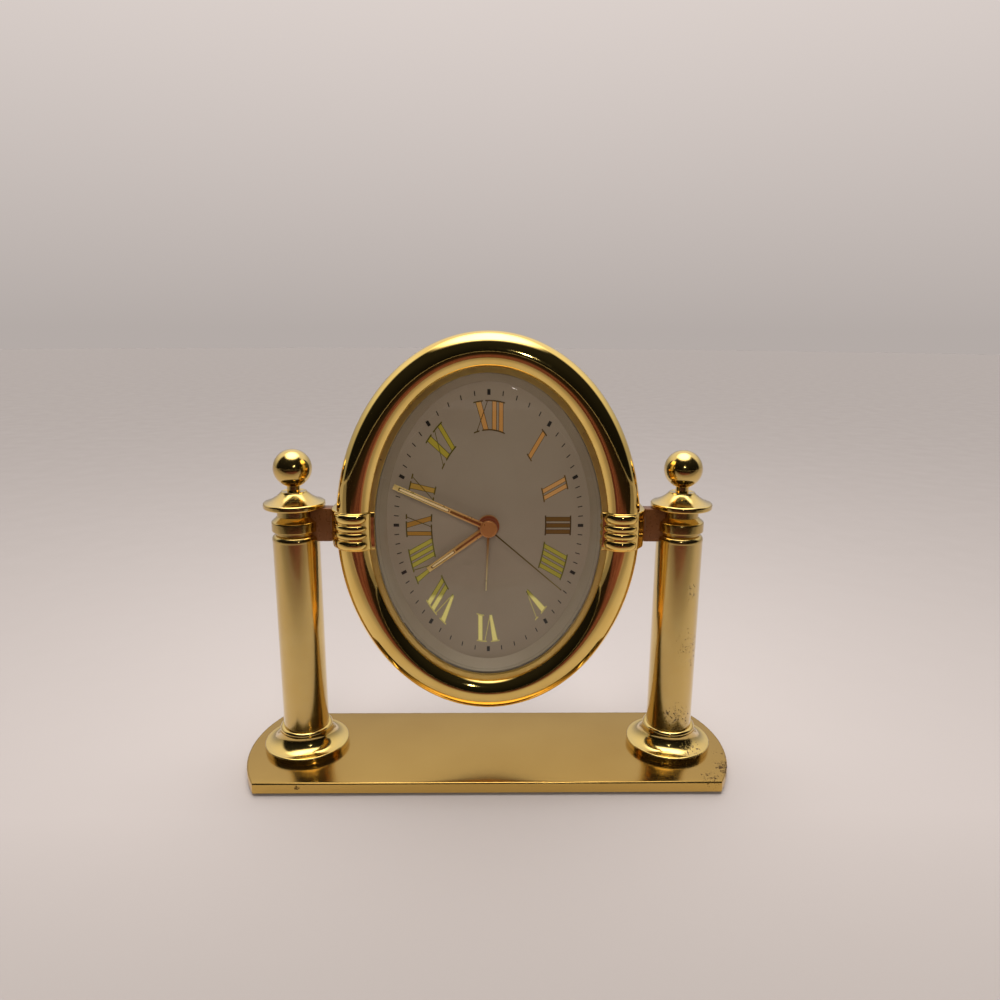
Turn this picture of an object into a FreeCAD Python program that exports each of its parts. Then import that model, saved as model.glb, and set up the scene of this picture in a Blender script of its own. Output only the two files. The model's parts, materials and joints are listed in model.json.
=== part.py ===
import FreeCAD, Part
import math
import os

# Swing-frame desk alarm clock: an oval quartz clock head that tilts between two columns on a flat base.
# Millimetres. X to the right, Y to the back, Z up. The origin is on the underside, midway between the columns.

# Base plate and pad
PAD_TOP = 0.8
PAD_INSET = 1.2
PLATE_TOP = 4.85
PLATE_CENTRE_Y = -1.4
PLATE_DEPTH = 47.6
PLATE_HALF_WIDTH = 85.9
PLATE_END_RADIUS = 44.1
PLATE_EDGE_ROUND = 0.8
NUT_RECESS_RADIUS = 4.8
NUT_RECESS_TOP = 3.2

# Columns, from the foot up
COLUMN_X = 66.0
COLUMN_RADIUS = 7.94
COLUMN_BORE = 6.7
COLUMN_BOTTOM = 13.6
COLUMN_TOP = 82.5
SPIGOT_RADIUS = 6.65
SPIGOT_LENGTH = 3.2
FOOT_RADIUS = 14.9
FOOT_RIM_TOP = 6.7
CAPITAL_TOP = 93.9
CAP_RADIUS = 10.36
CAP_TOP = 99.4
BOSS_RADIUS = 4.25
NECK_RADIUS = 2.2
BALL_RADIUS = 6.46
BALL_HEIGHT = 107.24
ROD_RADIUS = 1.4
ROD_BORE = 1.45
ROD_BOTTOM = 1.1
ROD_TOP = 103.8
FINIAL_BORE_TOP = 104.2
NUT_ACROSS_FLATS = 5.5
NUT_FLANGE_RADIUS = 4.2
NUT_FLANGE_THICK = 0.6

# Turned profiles of foot, capital and cap, from the bottom up, as steps of radius and height
FOOT_FLARE = [((14.75, 7.1), (14.35, 7.25)), ((11.2, 8.3), (9.2, 12.1)), ((9.15, 12.9), (8.4, COLUMN_BOTTOM))]
CAPITAL_GROOVES = [((7.75, 83.9), (6.9, 84.6)), (6.6, 84.7), (6.6, 85.6), (7.5, 85.8),
                   ((7.85, 85.95), (COLUMN_RADIUS, 86.3)), (COLUMN_RADIUS, 88.8), ((7.8, 89.2), (7.4, 89.5)),
                   (6.3, 90.6), (6.0, 91.0), (6.0, CAPITAL_TOP)]
CAP_EDGE = [(9.7, CAPITAL_TOP), ((10.2, 94.05), (CAP_RADIUS, 94.5)), (CAP_RADIUS, 95.1),
            ((10.2, 95.6), (9.7, 95.9)), ((6.3, 97.5), (BOSS_RADIUS, CAP_TOP))]

# Head outline: an oval given by its outermost half-width and half-height
AXIS_Z = 88.5
HEAD_HALF_WIDTH = 50.4
HEAD_HALF_HEIGHT = 64.3

# Depths through the head, front to back
TUBE_RADIUS = 6.26
TUBE_CENTRE_Y = -7.94
TUBE_SIDE_TURN = math.radians(22)
LAND_Y = -11.4
LIP_BACK_Y = -9.8
RING_FRONT_Y = -8.8
DIAL_FRONT_Y = -4.2
DIAL_BACK_Y = -3.4
RETAINER_BACK_Y = -2.2
BEZEL_BACK_Y = 2.0
CASE_INNER_BACK_Y = 12.4
CASE_BACK_Y = 13.6

# Insets from the head outline
OPENING_INSET = 12.9
TUBE_END_INSET = 10.98
PATH_INSET = 4.7
POCKET_INSET = 9.9
POCKET_FIT = 0.2
WALL_OUTER_INSET = 1.6
WALL_INNER_INSET = 3.2
RING_TOP_INSET = 13.2
RING_DIAL_INSET = 16.0
RETAINER_INNER_INSET = 12.2
CASE_INSET = 3.4

# Lens: a bevelled cup, its shoulder inside the bezel's opening
LENS_SHOULDER_INSET = 13.05
LENS_SHOULDER_Y = -11.5
LENS_BEVEL_INSET = 16.4
LENS_BEVEL_Y = -12.7
LENS_THICK = 1.2
LENS_HOLLOW_STEP = 0.4
LENS_HOLLOW_SHOULDER_Y = -10.0
DOME_RISE = 0.7
DOME_STEPS = 4

# Back case: insets and depths of its outer and inner skin behind the front edge
CASE_LEVELS = [(CASE_INSET, 3.0), (5.2, 11.0), (6.1, 12.9), (7.6, CASE_BACK_Y)]
CASE_HOLLOW_INSET = 5.0
CASE_HOLLOW_LEVELS = [(CASE_HOLLOW_INSET, 2.7), (6.6, 10.4), (7.4, 11.8), (8.6, CASE_INNER_BACK_Y)]

# Case screws, sunk in posts of the back case
SCREW_INSET = 8.2
SCREW_TURN = math.radians(45)
SCREW_RADIUS = 1.2
SCREW_TIP_Y = -7.6
SCREW_BORE_END_Y = -7.8
SCREW_CLEARANCE = 1.35
SCREW_POST_RADIUS = 3.0
SCREW_WELL_RADIUS = 2.55
SCREW_HEAD_RADIUS = 2.4
SCREW_HEAD_Y = (4.0, 5.6)
SCREW_CROSS_FRONT_Y = 4.8
SCREW_CROSS = (1.6, 0.3)

# Collars with ribs, and the hangers between collar and column
COLLAR_HALF_HEIGHT = 6.35
COLLAR_SKIN = 0.5
COLLAR_SKIN_END = 11.33
COLLAR_SINK_Y = -11.0
COLLAR_CORE = (11.0, -11.3)
COLLAR_FLANK = 2.3
COLLAR_BACK_Y = 3.8
COLLAR_SHOULDER = (-0.4, -10.3)
COLLAR_WAIST = (-1.75, -7.4)
COLLAR_FLANK_Y = -3.8
RIB_CENTRE_INSET = 6.3
RIB_CENTRE_Y = -8.35
RIB_REACH = 6.35
RIB_INNER_INSET = 10.2
RIB_STAND_OUT = 0.75
RIB_BACK_Y = -7.95
RIBS = ((4.4, 1.55), (1.25, 1.1), (-1.25, 1.1), (-4.4, 1.55))
HANGER_HALF_DEPTH = 2.4
HANGER_BOTTOM = 82.3
HANGER_TOP = 93.8
HANGER_END_X = 53.2
HANGER_ROOT_X = 61.5
PIVOT_RADIUS = 1.6
PIVOT_BORE = 1.65
PIVOT_OUTER_X = 57.5
PIVOT_INNER_X = 47.6
TILT_WASHER_RADIUS = 4.0
TILT_WASHER = (52.75, 53.15)

# Reach of a cutting shape past every part of the head, sideways and front to back
BEYOND_X = 60.0
THROUGH = (-20.0, 20.0)

# Hands: clock angle in degrees, length, half-width at the hub and at the tip, front and back
ALARM_HAND = (182.1, 22.8, 0.50, 0.20, -5.7, -5.4)
HOUR_HAND = (233.8, 25.3, 1.25, 0.95, -6.9, -6.5)
MINUTE_HAND = (294.2, 34.3, 1.00, 0.90, -8.1, -7.7)
SECOND_HAND = (131.0, 32.5, 0.25, 0.18, -9.3, -9.05)
ALARM_HUB = 3.6
HOUR_HUB = 3.0
MINUTE_HUB = 2.6
SECOND_HUB = 1.2
HOUR_SLOT = (14.2, 24.0, 0.45)
MINUTE_SLOT = (14.4, 32.5, 0.55)
LUME_FIT = 0.02
SECOND_CAP_RADIUS = 2.95
SECOND_CAP_FRONT = -9.9

# Pipes and arbors on the centre axis, running clearance between each pair
CLEARANCE = 0.05
END_PLAY = 0.1
SECONDS_ARBOR = 0.5
CANNON_PIPE = 1.2
HOUR_PIPE = 1.9
ALARM_PIPE = 2.5
BUSH_RADIUS = 3.2
NUT_RADIUS = 3.65
BUSH_FRONT_Y = -4.95
PIVOT_ARBOR = 0.4
SET_ARBOR = 1.0
SET_PIVOT = 0.6
STUD_RADIUS = 0.75
STUD_END_Y = 1.0

# Tooth counts of wheels and pinions
CANNON_TEETH = 12
MOTION_TEETH = 36
MOTION_PINION_TEETH = 12
HOUR_TEETH = 48
TIME_SET_TEETH = 18
ALARM_TEETH = 40
ALARM_SET_TEETH = 36
CENTRE_TEETH = 80
THIRD_TEETH = 75
SECONDS_TEETH = 60
INTERMEDIATE_TEETH = 60
PINION_TEETH = 10
ROTOR_TEETH = 12

# Tooth shape
ADDENDUM = 0.85
DEDENDUM = 1.2
ROOT_SHARE = 0.30
PITCH_SHARE = 0.21
TIP_SHARE = 0.11

# Movement: half the side of its square case, and the layers of the train from front to back
CASE_HALF = 28.0
MOVEMENT_BACK_Y = 12.2
MOVEMENT_WALL = 1.2
ALARM_LAYER = (-2.0, -1.3)
HOUR_LAYER = (-1.0, -0.3)
CANNON_LAYER = (0.0, 0.8)
CENTRE_LAYER = (1.2, 1.8)
THIRD_LAYER = (2.2, 2.8)
MIDDLE_PLATE = (3.1, 4.1)
SECONDS_LAYER = (4.4, 5.0)
ROTOR_LAYER = (5.7, 6.3)
REAR_PLATE = (6.9, 7.9)
PLATE_HALF_SPAN = 26.4
PLATE_LOW = -9.8
PLATE_HIGH = 18.6
PILLARS = ((-24.2, -7.6), (24.2, -7.6), (-24.2, 16.4), (24.2, 16.4))
PILLAR_RADIUS = 1.6
PILLAR_TENON = 1.0
TRAIN_ROOM_LOW = -10.2

# Battery bay, seen from the centre of the head
BAY_HALF_LENGTH = 26.4
BAY_LOW = -26.9
BAY_HIGH = -11.4
CELL_RADIUS = 7.05
CELL_CENTRE = (4.95, -19.15)
DOOR_FIT = 0.15
DOOR_MARGIN = 0.6
DOOR_GRIP_HALF = 6.0
DOOR_GRIP_DEPTH = 0.4
DOOR_GRIP_LOW = -22.9
DOOR_GRIP_PITCH = 1.5
DOOR_GRIP_WIDTH = 0.7
DOOR_GRIPS = 6

# Back of the case
KNOB_RADIUS = 5.0
KNOB_FRONT_Y = 14.0
KNOB_BACK_Y = 18.0
KNOB_FLUTES = 28
KNOB_FLUTE_DEPTH = 0.35
KNOB_DISH_RADIUS = 3.4
KNOB_DISH_DEPTH = 0.5
ARBOR_HOLE_RADIUS = 1.3
SWITCH_HEIGHT = 36.0
SWITCH_TRAVEL = 5.0
SWITCH_SLOT_HALF = (2.1, 1.8)
SWITCH_NUB_HALF = (1.9, 1.6)
SWITCH_NUB_BACK_Y = 15.0
SWITCH_PLATE_HALF = (5.0, 3.0)
SWITCH_PLATE_Y = (11.2, 12.3)
SOUND_HOLE_RADIUS = 0.8
SOUND_HOLE_PITCH = 3.0
SOUND_HOLES = 5
SOUND_HOLE_RISE = 2.0

# Electric parts, from the head's centre
CELL_X = (-25.3, 23.4)
CELL_CAP_RADIUS = 2.7
CELL_CAP_END_X = 24.9
CONTACT_STRIPS = ((-26.3, -25.9), (25.9, 26.3))
CONTACT_HALF = (5.0, 6.0)
CONTACT_TONGUE_RADIUS = 2.0
MAGNET_RADIUS = 3.0
MAGNET_Y = (4.4, 5.4)
STATOR_Y = (4.5, 5.3)
STATOR_HALF = 9.0
STATOR_BELOW_ROTOR = 4.6
STATOR_TOP = 24.0
STATOR_LEG = 3.0
STATOR_YOKE = 1.5
STATOR_WINDOW_ABOVE_ROTOR = 4.4
STATOR_BORE = 3.4
COIL_RADIUS = 2.7
COIL_GAP = 0.2
BOARD = ((4.0, 26.0), (8.3, 9.1), (3.5, 20.0))
QUARTZ_RADIUS = 0.9
QUARTZ_PLACE = (22.0, 10.0)
QUARTZ_HEIGHTS = (12.0, 18.0)
BUZZER = (-14.0, 13.0)
BUZZER_RADIUS = 9.0
BUZZER_Y = (10.2, 10.9)

os.makedirs("parts", exist_ok=True)


# Small building blocks

def vec(x, y, z):
    return FreeCAD.Vector(x, y, z)


def box(x_span, y_span, z_span):
    """Box over three spans, each from low to high."""
    sizes = [high - low for low, high in (x_span, y_span, z_span)]
    return Part.makeBox(*sizes, vec(x_span[0], y_span[0], z_span[0]))


def rod_x(radius, span, y, z):
    return Part.makeCylinder(radius, span[1] - span[0], vec(span[0], y, z), vec(1, 0, 0))


def rod_y(radius, span, x=0.0, z=0.0):
    """Round bar along Y; x and z are measured from the head's centre."""
    return Part.makeCylinder(radius, span[1] - span[0], vec(x, span[0], AXIS_Z + z), vec(0, 1, 0))


def rod_z(radius, span, x, y=0.0):
    return Part.makeCylinder(radius, span[1] - span[0], vec(x, y, span[0]), vec(0, 0, 1))


def head_box(x_span, y_span, z_span):
    """Box with its heights measured from the head's centre."""
    return box(x_span, y_span, (AXIS_Z + z_span[0], AXIS_Z + z_span[1]))


def outline(steps, place):
    """Closed wire: a step is a corner, or a pair of corners that an arc passes through and ends at."""
    edges = []
    here = place(*steps[0])
    for step in steps[1:] + [steps[0]]:
        if isinstance(step[0], tuple):
            middle, end = place(*step[0]), place(*step[1])
            edges.append(Part.Arc(here, middle, end).toShape())
        else:
            end = place(*step)
            if end != here:
                edges.append(Part.makeLine(here, end))
        here = end
    return Part.Wire(edges)


def turned(steps, x):
    """Solid turned about the column axis at x, from steps of radius and height."""
    wire = outline(steps, lambda radius, z: vec(x + radius, 0, z))
    return Part.Face(wire).revolve(vec(x, 0, 0), vec(0, 0, 1), 360)


def oval(inset, y):
    """Oval wire parallel to the head outline, lying in the plane at y."""
    top = vec(0, y, AXIS_Z + HEAD_HALF_HEIGHT - inset)
    side = vec(HEAD_HALF_WIDTH - inset, y, AXIS_Z)
    return Part.Wire([Part.Ellipse(top, side, vec(0, y, AXIS_Z)).toShape()])


def oval_stack(levels):
    """Solid through ovals, given front to back as inset and depth."""
    return Part.makeLoft([oval(inset, y) for inset, y in levels], True, True)


def oval_sweep(steps):
    """Ring with one section all round the head, from steps of inset and depth."""
    section = outline(steps, lambda inset, y: vec(0, y, AXIS_Z + HEAD_HALF_HEIGHT - inset))
    return oval(PATH_INSET, 0).makePipeShell([section], True, False)


def tube_front(radius, inset):
    """Front of a circle about the tube's centre, at an inset."""
    return TUBE_CENTRE_Y - math.sqrt(radius ** 2 - (inset - TUBE_RADIUS) ** 2)


def joined(shapes):
    return shapes[0].fuse(shapes[1:])


def mirrored(shape):
    return shape.mirror(vec(0, 0, 0), vec(1, 0, 0))


def save(node, *shapes):
    """Write one sub-part, whose shapes stay separate solids."""
    solids = [solid for shape in shapes for solid in shape.Solids]
    for solid in solids:
        if not solid.isValid():
            raise ValueError(node + " holds a solid that is not valid")
    result = solids[0] if len(solids) == 1 else Part.makeCompound(solids)
    result.exportStep("parts/" + node + ".step")


def save_pair(name, left):
    """Write a sub-part of the left side, and its mirror image as the one of the right side."""
    save("left_" + name, left)
    save("right_" + name, mirrored(left))


def save_both(name, left):
    """Write a piece of the left side and its mirror image as two solids of one sub-part."""
    save(name, left, mirrored(left))


# Stand

def plate_outline(inset, z):
    half_depth = PLATE_DEPTH / 2 - inset
    end_radius = PLATE_END_RADIUS - inset
    bulge = end_radius - math.sqrt(end_radius ** 2 - half_depth ** 2)
    half_width = PLATE_HALF_WIDTH - inset
    corner = half_width - bulge
    front, back = PLATE_CENTRE_Y - half_depth, PLATE_CENTRE_Y + half_depth
    steps = [(-corner, front), (corner, front), ((half_width, PLATE_CENTRE_Y), (corner, back)),
             (-corner, back), ((-half_width, PLATE_CENTRE_Y), (-corner, front))]
    return outline(steps, lambda x, y: vec(x, y, z))


def plate_solid(inset, low, high):
    return Part.Face(plate_outline(inset, low)).extrude(vec(0, 0, high - low))


def build_base():
    plate = plate_solid(0, PAD_TOP, PLATE_TOP)
    rim = [edge for edge in plate.Edges if edge.BoundBox.ZMin > PLATE_TOP - 0.01]
    plate = plate.makeFillet(PLATE_EDGE_ROUND, rim)
    for x in (-COLUMN_X, COLUMN_X):
        plate = plate.cut(rod_z(ROD_BORE, (PAD_TOP, PLATE_TOP), x))
        plate = plate.cut(rod_z(NUT_RECESS_RADIUS, (PAD_TOP, NUT_RECESS_TOP), x))
    save("base_plate", plate)
    save("base_pad", plate_solid(PAD_INSET, 0, PAD_TOP))


def build_columns():
    x = -COLUMN_X
    foot = [(ROD_BORE, PLATE_TOP), (FOOT_RADIUS, PLATE_TOP), (FOOT_RADIUS, FOOT_RIM_TOP), *FOOT_FLARE,
            (SPIGOT_RADIUS, COLUMN_BOTTOM), (SPIGOT_RADIUS, COLUMN_BOTTOM + SPIGOT_LENGTH),
            (ROD_BORE, COLUMN_BOTTOM + SPIGOT_LENGTH)]
    save_pair("foot_flange", turned(foot, x))

    tube = [(COLUMN_BORE, COLUMN_BOTTOM), (COLUMN_RADIUS, COLUMN_BOTTOM), (COLUMN_RADIUS, COLUMN_TOP),
            (COLUMN_BORE, COLUMN_TOP)]
    save_pair("column_tube", turned(tube, x))

    capital = turned([(ROD_BORE, COLUMN_TOP - SPIGOT_LENGTH), (SPIGOT_RADIUS, COLUMN_TOP - SPIGOT_LENGTH),
                      (SPIGOT_RADIUS, COLUMN_TOP), (COLUMN_RADIUS, COLUMN_TOP), *CAPITAL_GROOVES,
                      (ROD_BORE, CAPITAL_TOP)], x)
    save_pair("capital", capital)

    save_pair("cap_disc", turned([(ROD_BORE, CAPITAL_TOP), *CAP_EDGE, (ROD_BORE, CAP_TOP)], x))

    neck_top = BALL_HEIGHT - math.sqrt(BALL_RADIUS ** 2 - NECK_RADIUS ** 2)
    ball = [(ROD_BORE, CAP_TOP), (NECK_RADIUS, CAP_TOP), (NECK_RADIUS, neck_top),
            ((BALL_RADIUS, BALL_HEIGHT), (0, BALL_HEIGHT + BALL_RADIUS)), (0, FINIAL_BORE_TOP),
            (ROD_BORE, FINIAL_BORE_TOP)]
    save_both("ball_finials", turned(ball, x))
    tie_rod = rod_z(ROD_RADIUS, (ROD_BOTTOM, ROD_TOP), x)
    save_both("tie_rods", tie_rod)

    corners = []
    for step in range(6):
        turn = math.radians(60 * step)
        reach = NUT_ACROSS_FLATS / math.sqrt(3)
        corners.append(vec(x + reach * math.cos(turn), reach * math.sin(turn), ROD_BOTTOM))
    hexagon = Part.Face(Part.makePolygon(corners + [corners[0]]))
    nut = hexagon.extrude(vec(0, 0, NUT_RECESS_TOP - ROD_BOTTOM))
    nut = nut.fuse(rod_z(NUT_FLANGE_RADIUS, (NUT_RECESS_TOP - NUT_FLANGE_THICK, NUT_RECESS_TOP), x))
    save_both("tie_rod_nuts", nut.cut(tie_rod))
    return capital


def build_hangers(capital):
    bar = box((-HANGER_ROOT_X, -HANGER_END_X), (-HANGER_HALF_DEPTH, HANGER_HALF_DEPTH),
              (HANGER_BOTTOM, HANGER_TOP))
    column = rod_z(COLUMN_RADIUS, (COLUMN_BOTTOM, COLUMN_TOP), -COLUMN_X)
    core = rod_z(ROD_BORE, (ROD_BOTTOM, ROD_TOP), -COLUMN_X)
    pin = rod_x(PIVOT_RADIUS, (-PIVOT_OUTER_X, -PIVOT_INNER_X), 0, AXIS_Z)
    save_pair("hanger_bar", bar.cut([capital, column, core, pin]))
    save_both("pivot_pins", pin)
    inner, outer = TILT_WASHER
    save_both("tilt_washers", rod_x(TILT_WASHER_RADIUS, (-outer, -inner), 0, AXIS_Z).cut(pin))


# Head shell

def screw_places():
    """Where the four case screws stand, measured from the head's centre."""
    places = []
    for quarter in range(4):
        turn = SCREW_TURN + quarter * math.pi / 2
        places.append(((HEAD_HALF_WIDTH - SCREW_INSET) * math.sin(turn),
                       (HEAD_HALF_HEIGHT - SCREW_INSET) * math.cos(turn)))
    return places


def build_bezel():
    crown = (TUBE_RADIUS, TUBE_CENTRE_Y - TUBE_RADIUS)
    side_point = (TUBE_RADIUS * (1 - math.cos(TUBE_SIDE_TURN)),
                  TUBE_CENTRE_Y + TUBE_RADIUS * math.sin(TUBE_SIDE_TURN))
    wall_start = TUBE_CENTRE_Y + math.sqrt(TUBE_RADIUS ** 2 - (TUBE_RADIUS - WALL_OUTER_INSET) ** 2)
    ring = oval_sweep([(OPENING_INSET, LAND_Y), (TUBE_END_INSET, LAND_Y),
                       (TUBE_END_INSET, tube_front(TUBE_RADIUS, TUBE_END_INSET)), (crown, (0, TUBE_CENTRE_Y)),
                       (side_point, (WALL_OUTER_INSET, wall_start)), (WALL_OUTER_INSET, BEZEL_BACK_Y),
                       (WALL_INNER_INSET, BEZEL_BACK_Y), (WALL_INNER_INSET, DIAL_BACK_Y),
                       (POCKET_INSET, DIAL_BACK_Y), (POCKET_INSET, LIP_BACK_Y), (OPENING_INSET, LIP_BACK_Y)])
    for x, z in screw_places():
        ring = ring.cut(rod_y(SCREW_RADIUS, (SCREW_BORE_END_Y, DIAL_BACK_Y), x, z))
    pin_hole = rod_x(PIVOT_BORE, (-HEAD_HALF_WIDTH, HEAD_HALF_WIDTH), 0, AXIS_Z)
    ring_drilled = ring.cut(pin_hole)
    save("bezel_ring", ring_drilled)

    skin_front = LAND_Y - COLLAR_SKIN
    skin_radius = TUBE_RADIUS + COLLAR_SKIN
    band = oval_sweep([(OPENING_INSET, COLLAR_SINK_Y), (OPENING_INSET, skin_front),
                       (COLLAR_SKIN_END, skin_front), (COLLAR_SKIN_END, tube_front(skin_radius, COLLAR_SKIN_END)),
                       ((TUBE_RADIUS, TUBE_CENTRE_Y - skin_radius), COLLAR_SHOULDER),
                       (COLLAR_WAIST, (-COLLAR_FLANK, COLLAR_FLANK_Y)), (-COLLAR_FLANK, COLLAR_BACK_Y),
                       (WALL_OUTER_INSET, COLLAR_BACK_Y), (WALL_OUTER_INSET, DIAL_BACK_Y),
                       (TUBE_RADIUS, TUBE_CENTRE_Y), COLLAR_CORE])
    slab = head_box((-BEYOND_X, 0), THROUGH, (-COLLAR_HALF_HEIGHT, COLLAR_HALF_HEIGHT))
    pieces = [band.common(slab)]
    rib_x = -(HEAD_HALF_WIDTH - RIB_CENTRE_INSET)
    for height, half in RIBS:
        crown = vec(rib_x, RIB_CENTRE_Y - RIB_REACH, AXIS_Z + height)
        section = Part.Ellipse(crown + vec(0, 0, half), crown - vec(0, RIB_STAND_OUT, 0), crown).toShape()
        rib = Part.Face(Part.Wire([section])).revolve(vec(rib_x, RIB_CENTRE_Y, 0), vec(0, 0, 1), 360)
        front_part = head_box((-BEYOND_X, RIB_INNER_INSET - HEAD_HALF_WIDTH), (THROUGH[0], RIB_BACK_Y), THROUGH)
        pieces.append(rib.common(front_part))
    pin_passage = rod_x(PIVOT_BORE, (-BEYOND_X, 0), 0, AXIS_Z)
    collar = joined(pieces).cut(ring).cut(pin_passage)
    core = oval_stack([(OPENING_INSET, THROUGH[0]), (OPENING_INSET, LIP_BACK_Y)])
    pocket = oval_stack([(PATH_INSET, LIP_BACK_Y), (PATH_INSET, DIAL_BACK_Y)])
    collar = collar.cut(core).cut(pocket)
    save_pair("rib_collar", max(collar.Solids, key=lambda solid: solid.Volume))


def build_glass_and_dial():
    glass_inset = POCKET_INSET + POCKET_FIT
    dome = []
    for step in range(DOME_STEPS + 1):
        share = step / (DOME_STEPS + 1)
        inset = LENS_BEVEL_INSET + share * (HEAD_HALF_WIDTH - LENS_BEVEL_INSET)
        dome.append((inset, LENS_BEVEL_Y - DOME_RISE * (1 - (1 - share) ** 2)))
    dome.reverse()
    outer = oval_stack(dome + [(LENS_SHOULDER_INSET, LENS_SHOULDER_Y), (LENS_SHOULDER_INSET, RING_FRONT_Y)])
    inner_inset = LENS_SHOULDER_INSET + LENS_THICK
    inner = oval_stack([(inset + LENS_HOLLOW_STEP, y + LENS_THICK) for inset, y in dome] +
                       [(inner_inset, LENS_HOLLOW_SHOULDER_Y), (inner_inset, RING_FRONT_Y)])
    flange = oval_stack([(glass_inset, LIP_BACK_Y), (glass_inset, RING_FRONT_Y)])
    save("lens", outer.fuse(flange).cut(inner))

    save("dial_ring", oval_sweep([(glass_inset, RING_FRONT_Y), (RING_TOP_INSET, RING_FRONT_Y),
                                  (RING_DIAL_INSET, DIAL_FRONT_Y), (glass_inset, DIAL_FRONT_Y)]))
    dial = oval_stack([(glass_inset, DIAL_FRONT_Y), (glass_inset, DIAL_BACK_Y)])
    save("dial_plate", dial.cut(rod_y(BUSH_RADIUS + CLEARANCE, (DIAL_FRONT_Y, DIAL_BACK_Y))))

    span = (DIAL_BACK_Y, RETAINER_BACK_Y)
    retainer = oval_stack([(CASE_INSET, span[0]), (CASE_INSET, span[1])])
    retainer = retainer.cut(oval_stack([(RETAINER_INNER_INSET, span[0]), (RETAINER_INNER_INSET, span[1])]))
    for x, z in screw_places():
        retainer = retainer.cut(rod_y(SCREW_CLEARANCE, span, x, z))
    save("retaining_ring", retainer)


def door_window(fit):
    margin = DOOR_MARGIN - fit
    half = BAY_HALF_LENGTH + margin
    return head_box((-half, half), (CASE_INNER_BACK_Y, CASE_BACK_Y), (BAY_LOW - margin, BAY_HIGH + margin))


def build_back_case():
    front = RETAINER_BACK_Y
    shell = oval_stack([(CASE_INSET, front)] + CASE_LEVELS)
    case = shell.cut(oval_stack([(CASE_HOLLOW_INSET, front)] + CASE_HOLLOW_LEVELS))
    head_front, head_back = SCREW_HEAD_Y
    for x, z in screw_places():
        case = case.fuse(rod_y(SCREW_POST_RADIUS, (front, CASE_INNER_BACK_Y), x, z).common(shell))
        case = case.cut(rod_y(SCREW_CLEARANCE, (front, CASE_BACK_Y), x, z))
        case = case.cut(rod_y(SCREW_WELL_RADIUS, (head_front, CASE_BACK_Y), x, z))
    wall = (CASE_INNER_BACK_Y, CASE_BACK_Y)
    for x in (TIME_SET[0], ALARM_SET[0]):
        case = case.cut(rod_y(ARBOR_HOLE_RADIUS, wall, x))
    travel_half = SWITCH_TRAVEL / 2
    slot_half, slot_rise = SWITCH_SLOT_HALF
    case = case.cut(head_box((-travel_half - slot_half, travel_half + slot_half), wall,
                             (SWITCH_HEIGHT - slot_rise, SWITCH_HEIGHT + slot_rise)))
    for hole in range(SOUND_HOLES):
        x = BUZZER[0] + SOUND_HOLE_PITCH * (hole - (SOUND_HOLES - 1) / 2)
        case = case.cut(rod_y(SOUND_HOLE_RADIUS, wall, x, BUZZER[1] + SOUND_HOLE_RISE))
    case = case.cut(door_window(0))
    save("back_case", case)

    screws = []
    arm, arm_half = SCREW_CROSS
    recess = (SCREW_CROSS_FRONT_Y, head_back)
    for x, z in screw_places():
        shank = rod_y(SCREW_RADIUS, (SCREW_TIP_Y, head_front), x, z)
        screw = rod_y(SCREW_HEAD_RADIUS, SCREW_HEAD_Y, x, z).fuse(shank)
        screw = screw.cut(head_box((x - arm_half, x + arm_half), recess, (z - arm, z + arm)))
        screws.append(screw.cut(head_box((x - arm, x + arm), recess, (z - arm_half, z + arm_half))))
    save("case_screws", *screws)

    door = door_window(DOOR_FIT)
    for groove in range(DOOR_GRIPS):
        low = DOOR_GRIP_LOW + DOOR_GRIP_PITCH * groove
        door = door.cut(head_box((-DOOR_GRIP_HALF, DOOR_GRIP_HALF), (CASE_BACK_Y - DOOR_GRIP_DEPTH, CASE_BACK_Y),
                                 (low, low + DOOR_GRIP_WIDTH)))
    save("battery_door", door)

    half, rise = SWITCH_PLATE_HALF
    plate = head_box((-travel_half - half, -travel_half + half), SWITCH_PLATE_Y,
                     (SWITCH_HEIGHT - rise, SWITCH_HEIGHT + rise))
    half, rise = SWITCH_NUB_HALF
    nub = head_box((-travel_half - half, -travel_half + half), (SWITCH_PLATE_Y[1], SWITCH_NUB_BACK_Y),
                   (SWITCH_HEIGHT - rise, SWITCH_HEIGHT + rise))
    save("alarm_switch", plate.fuse(nub))


# Gears, pipes and arbors

def gear(teeth, module, layer, place, phase):
    """Toothed disc; place is measured from the head's centre, phase is the turn of its first tooth."""
    pitch_radius = teeth * module / 2
    tip, root = pitch_radius + ADDENDUM * module, pitch_radius - DEDENDUM * module
    profile = ((root, -ROOT_SHARE), (pitch_radius, -PITCH_SHARE), (tip, -TIP_SHARE),
               (tip, TIP_SHARE), (pitch_radius, PITCH_SHARE), (root, ROOT_SHARE))
    corners = []
    for tooth in range(teeth):
        for radius, share in profile:
            turn = phase + (tooth + share) * 2 * math.pi / teeth
            x, z = place[0] + radius * math.cos(turn), place[1] + radius * math.sin(turn)
            corners.append(vec(x, layer[0], AXIS_Z + z))
    face = Part.Face(Part.makePolygon(corners + [corners[0]]))
    return face.extrude(vec(0, layer[1] - layer[0], 0))


def meshed_phase(teeth, phase, direction, next_teeth):
    """Phase that puts the next gear's teeth in this gear's gaps, where it lies in the given direction."""
    share = ((direction - phase) * teeth / (2 * math.pi)) % 1
    return direction + math.pi - (0.5 - share) * 2 * math.pi / next_teeth


def polar(start, distance, turn):
    return (start[0] + distance * math.cos(turn), start[1] + distance * math.sin(turn))


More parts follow.
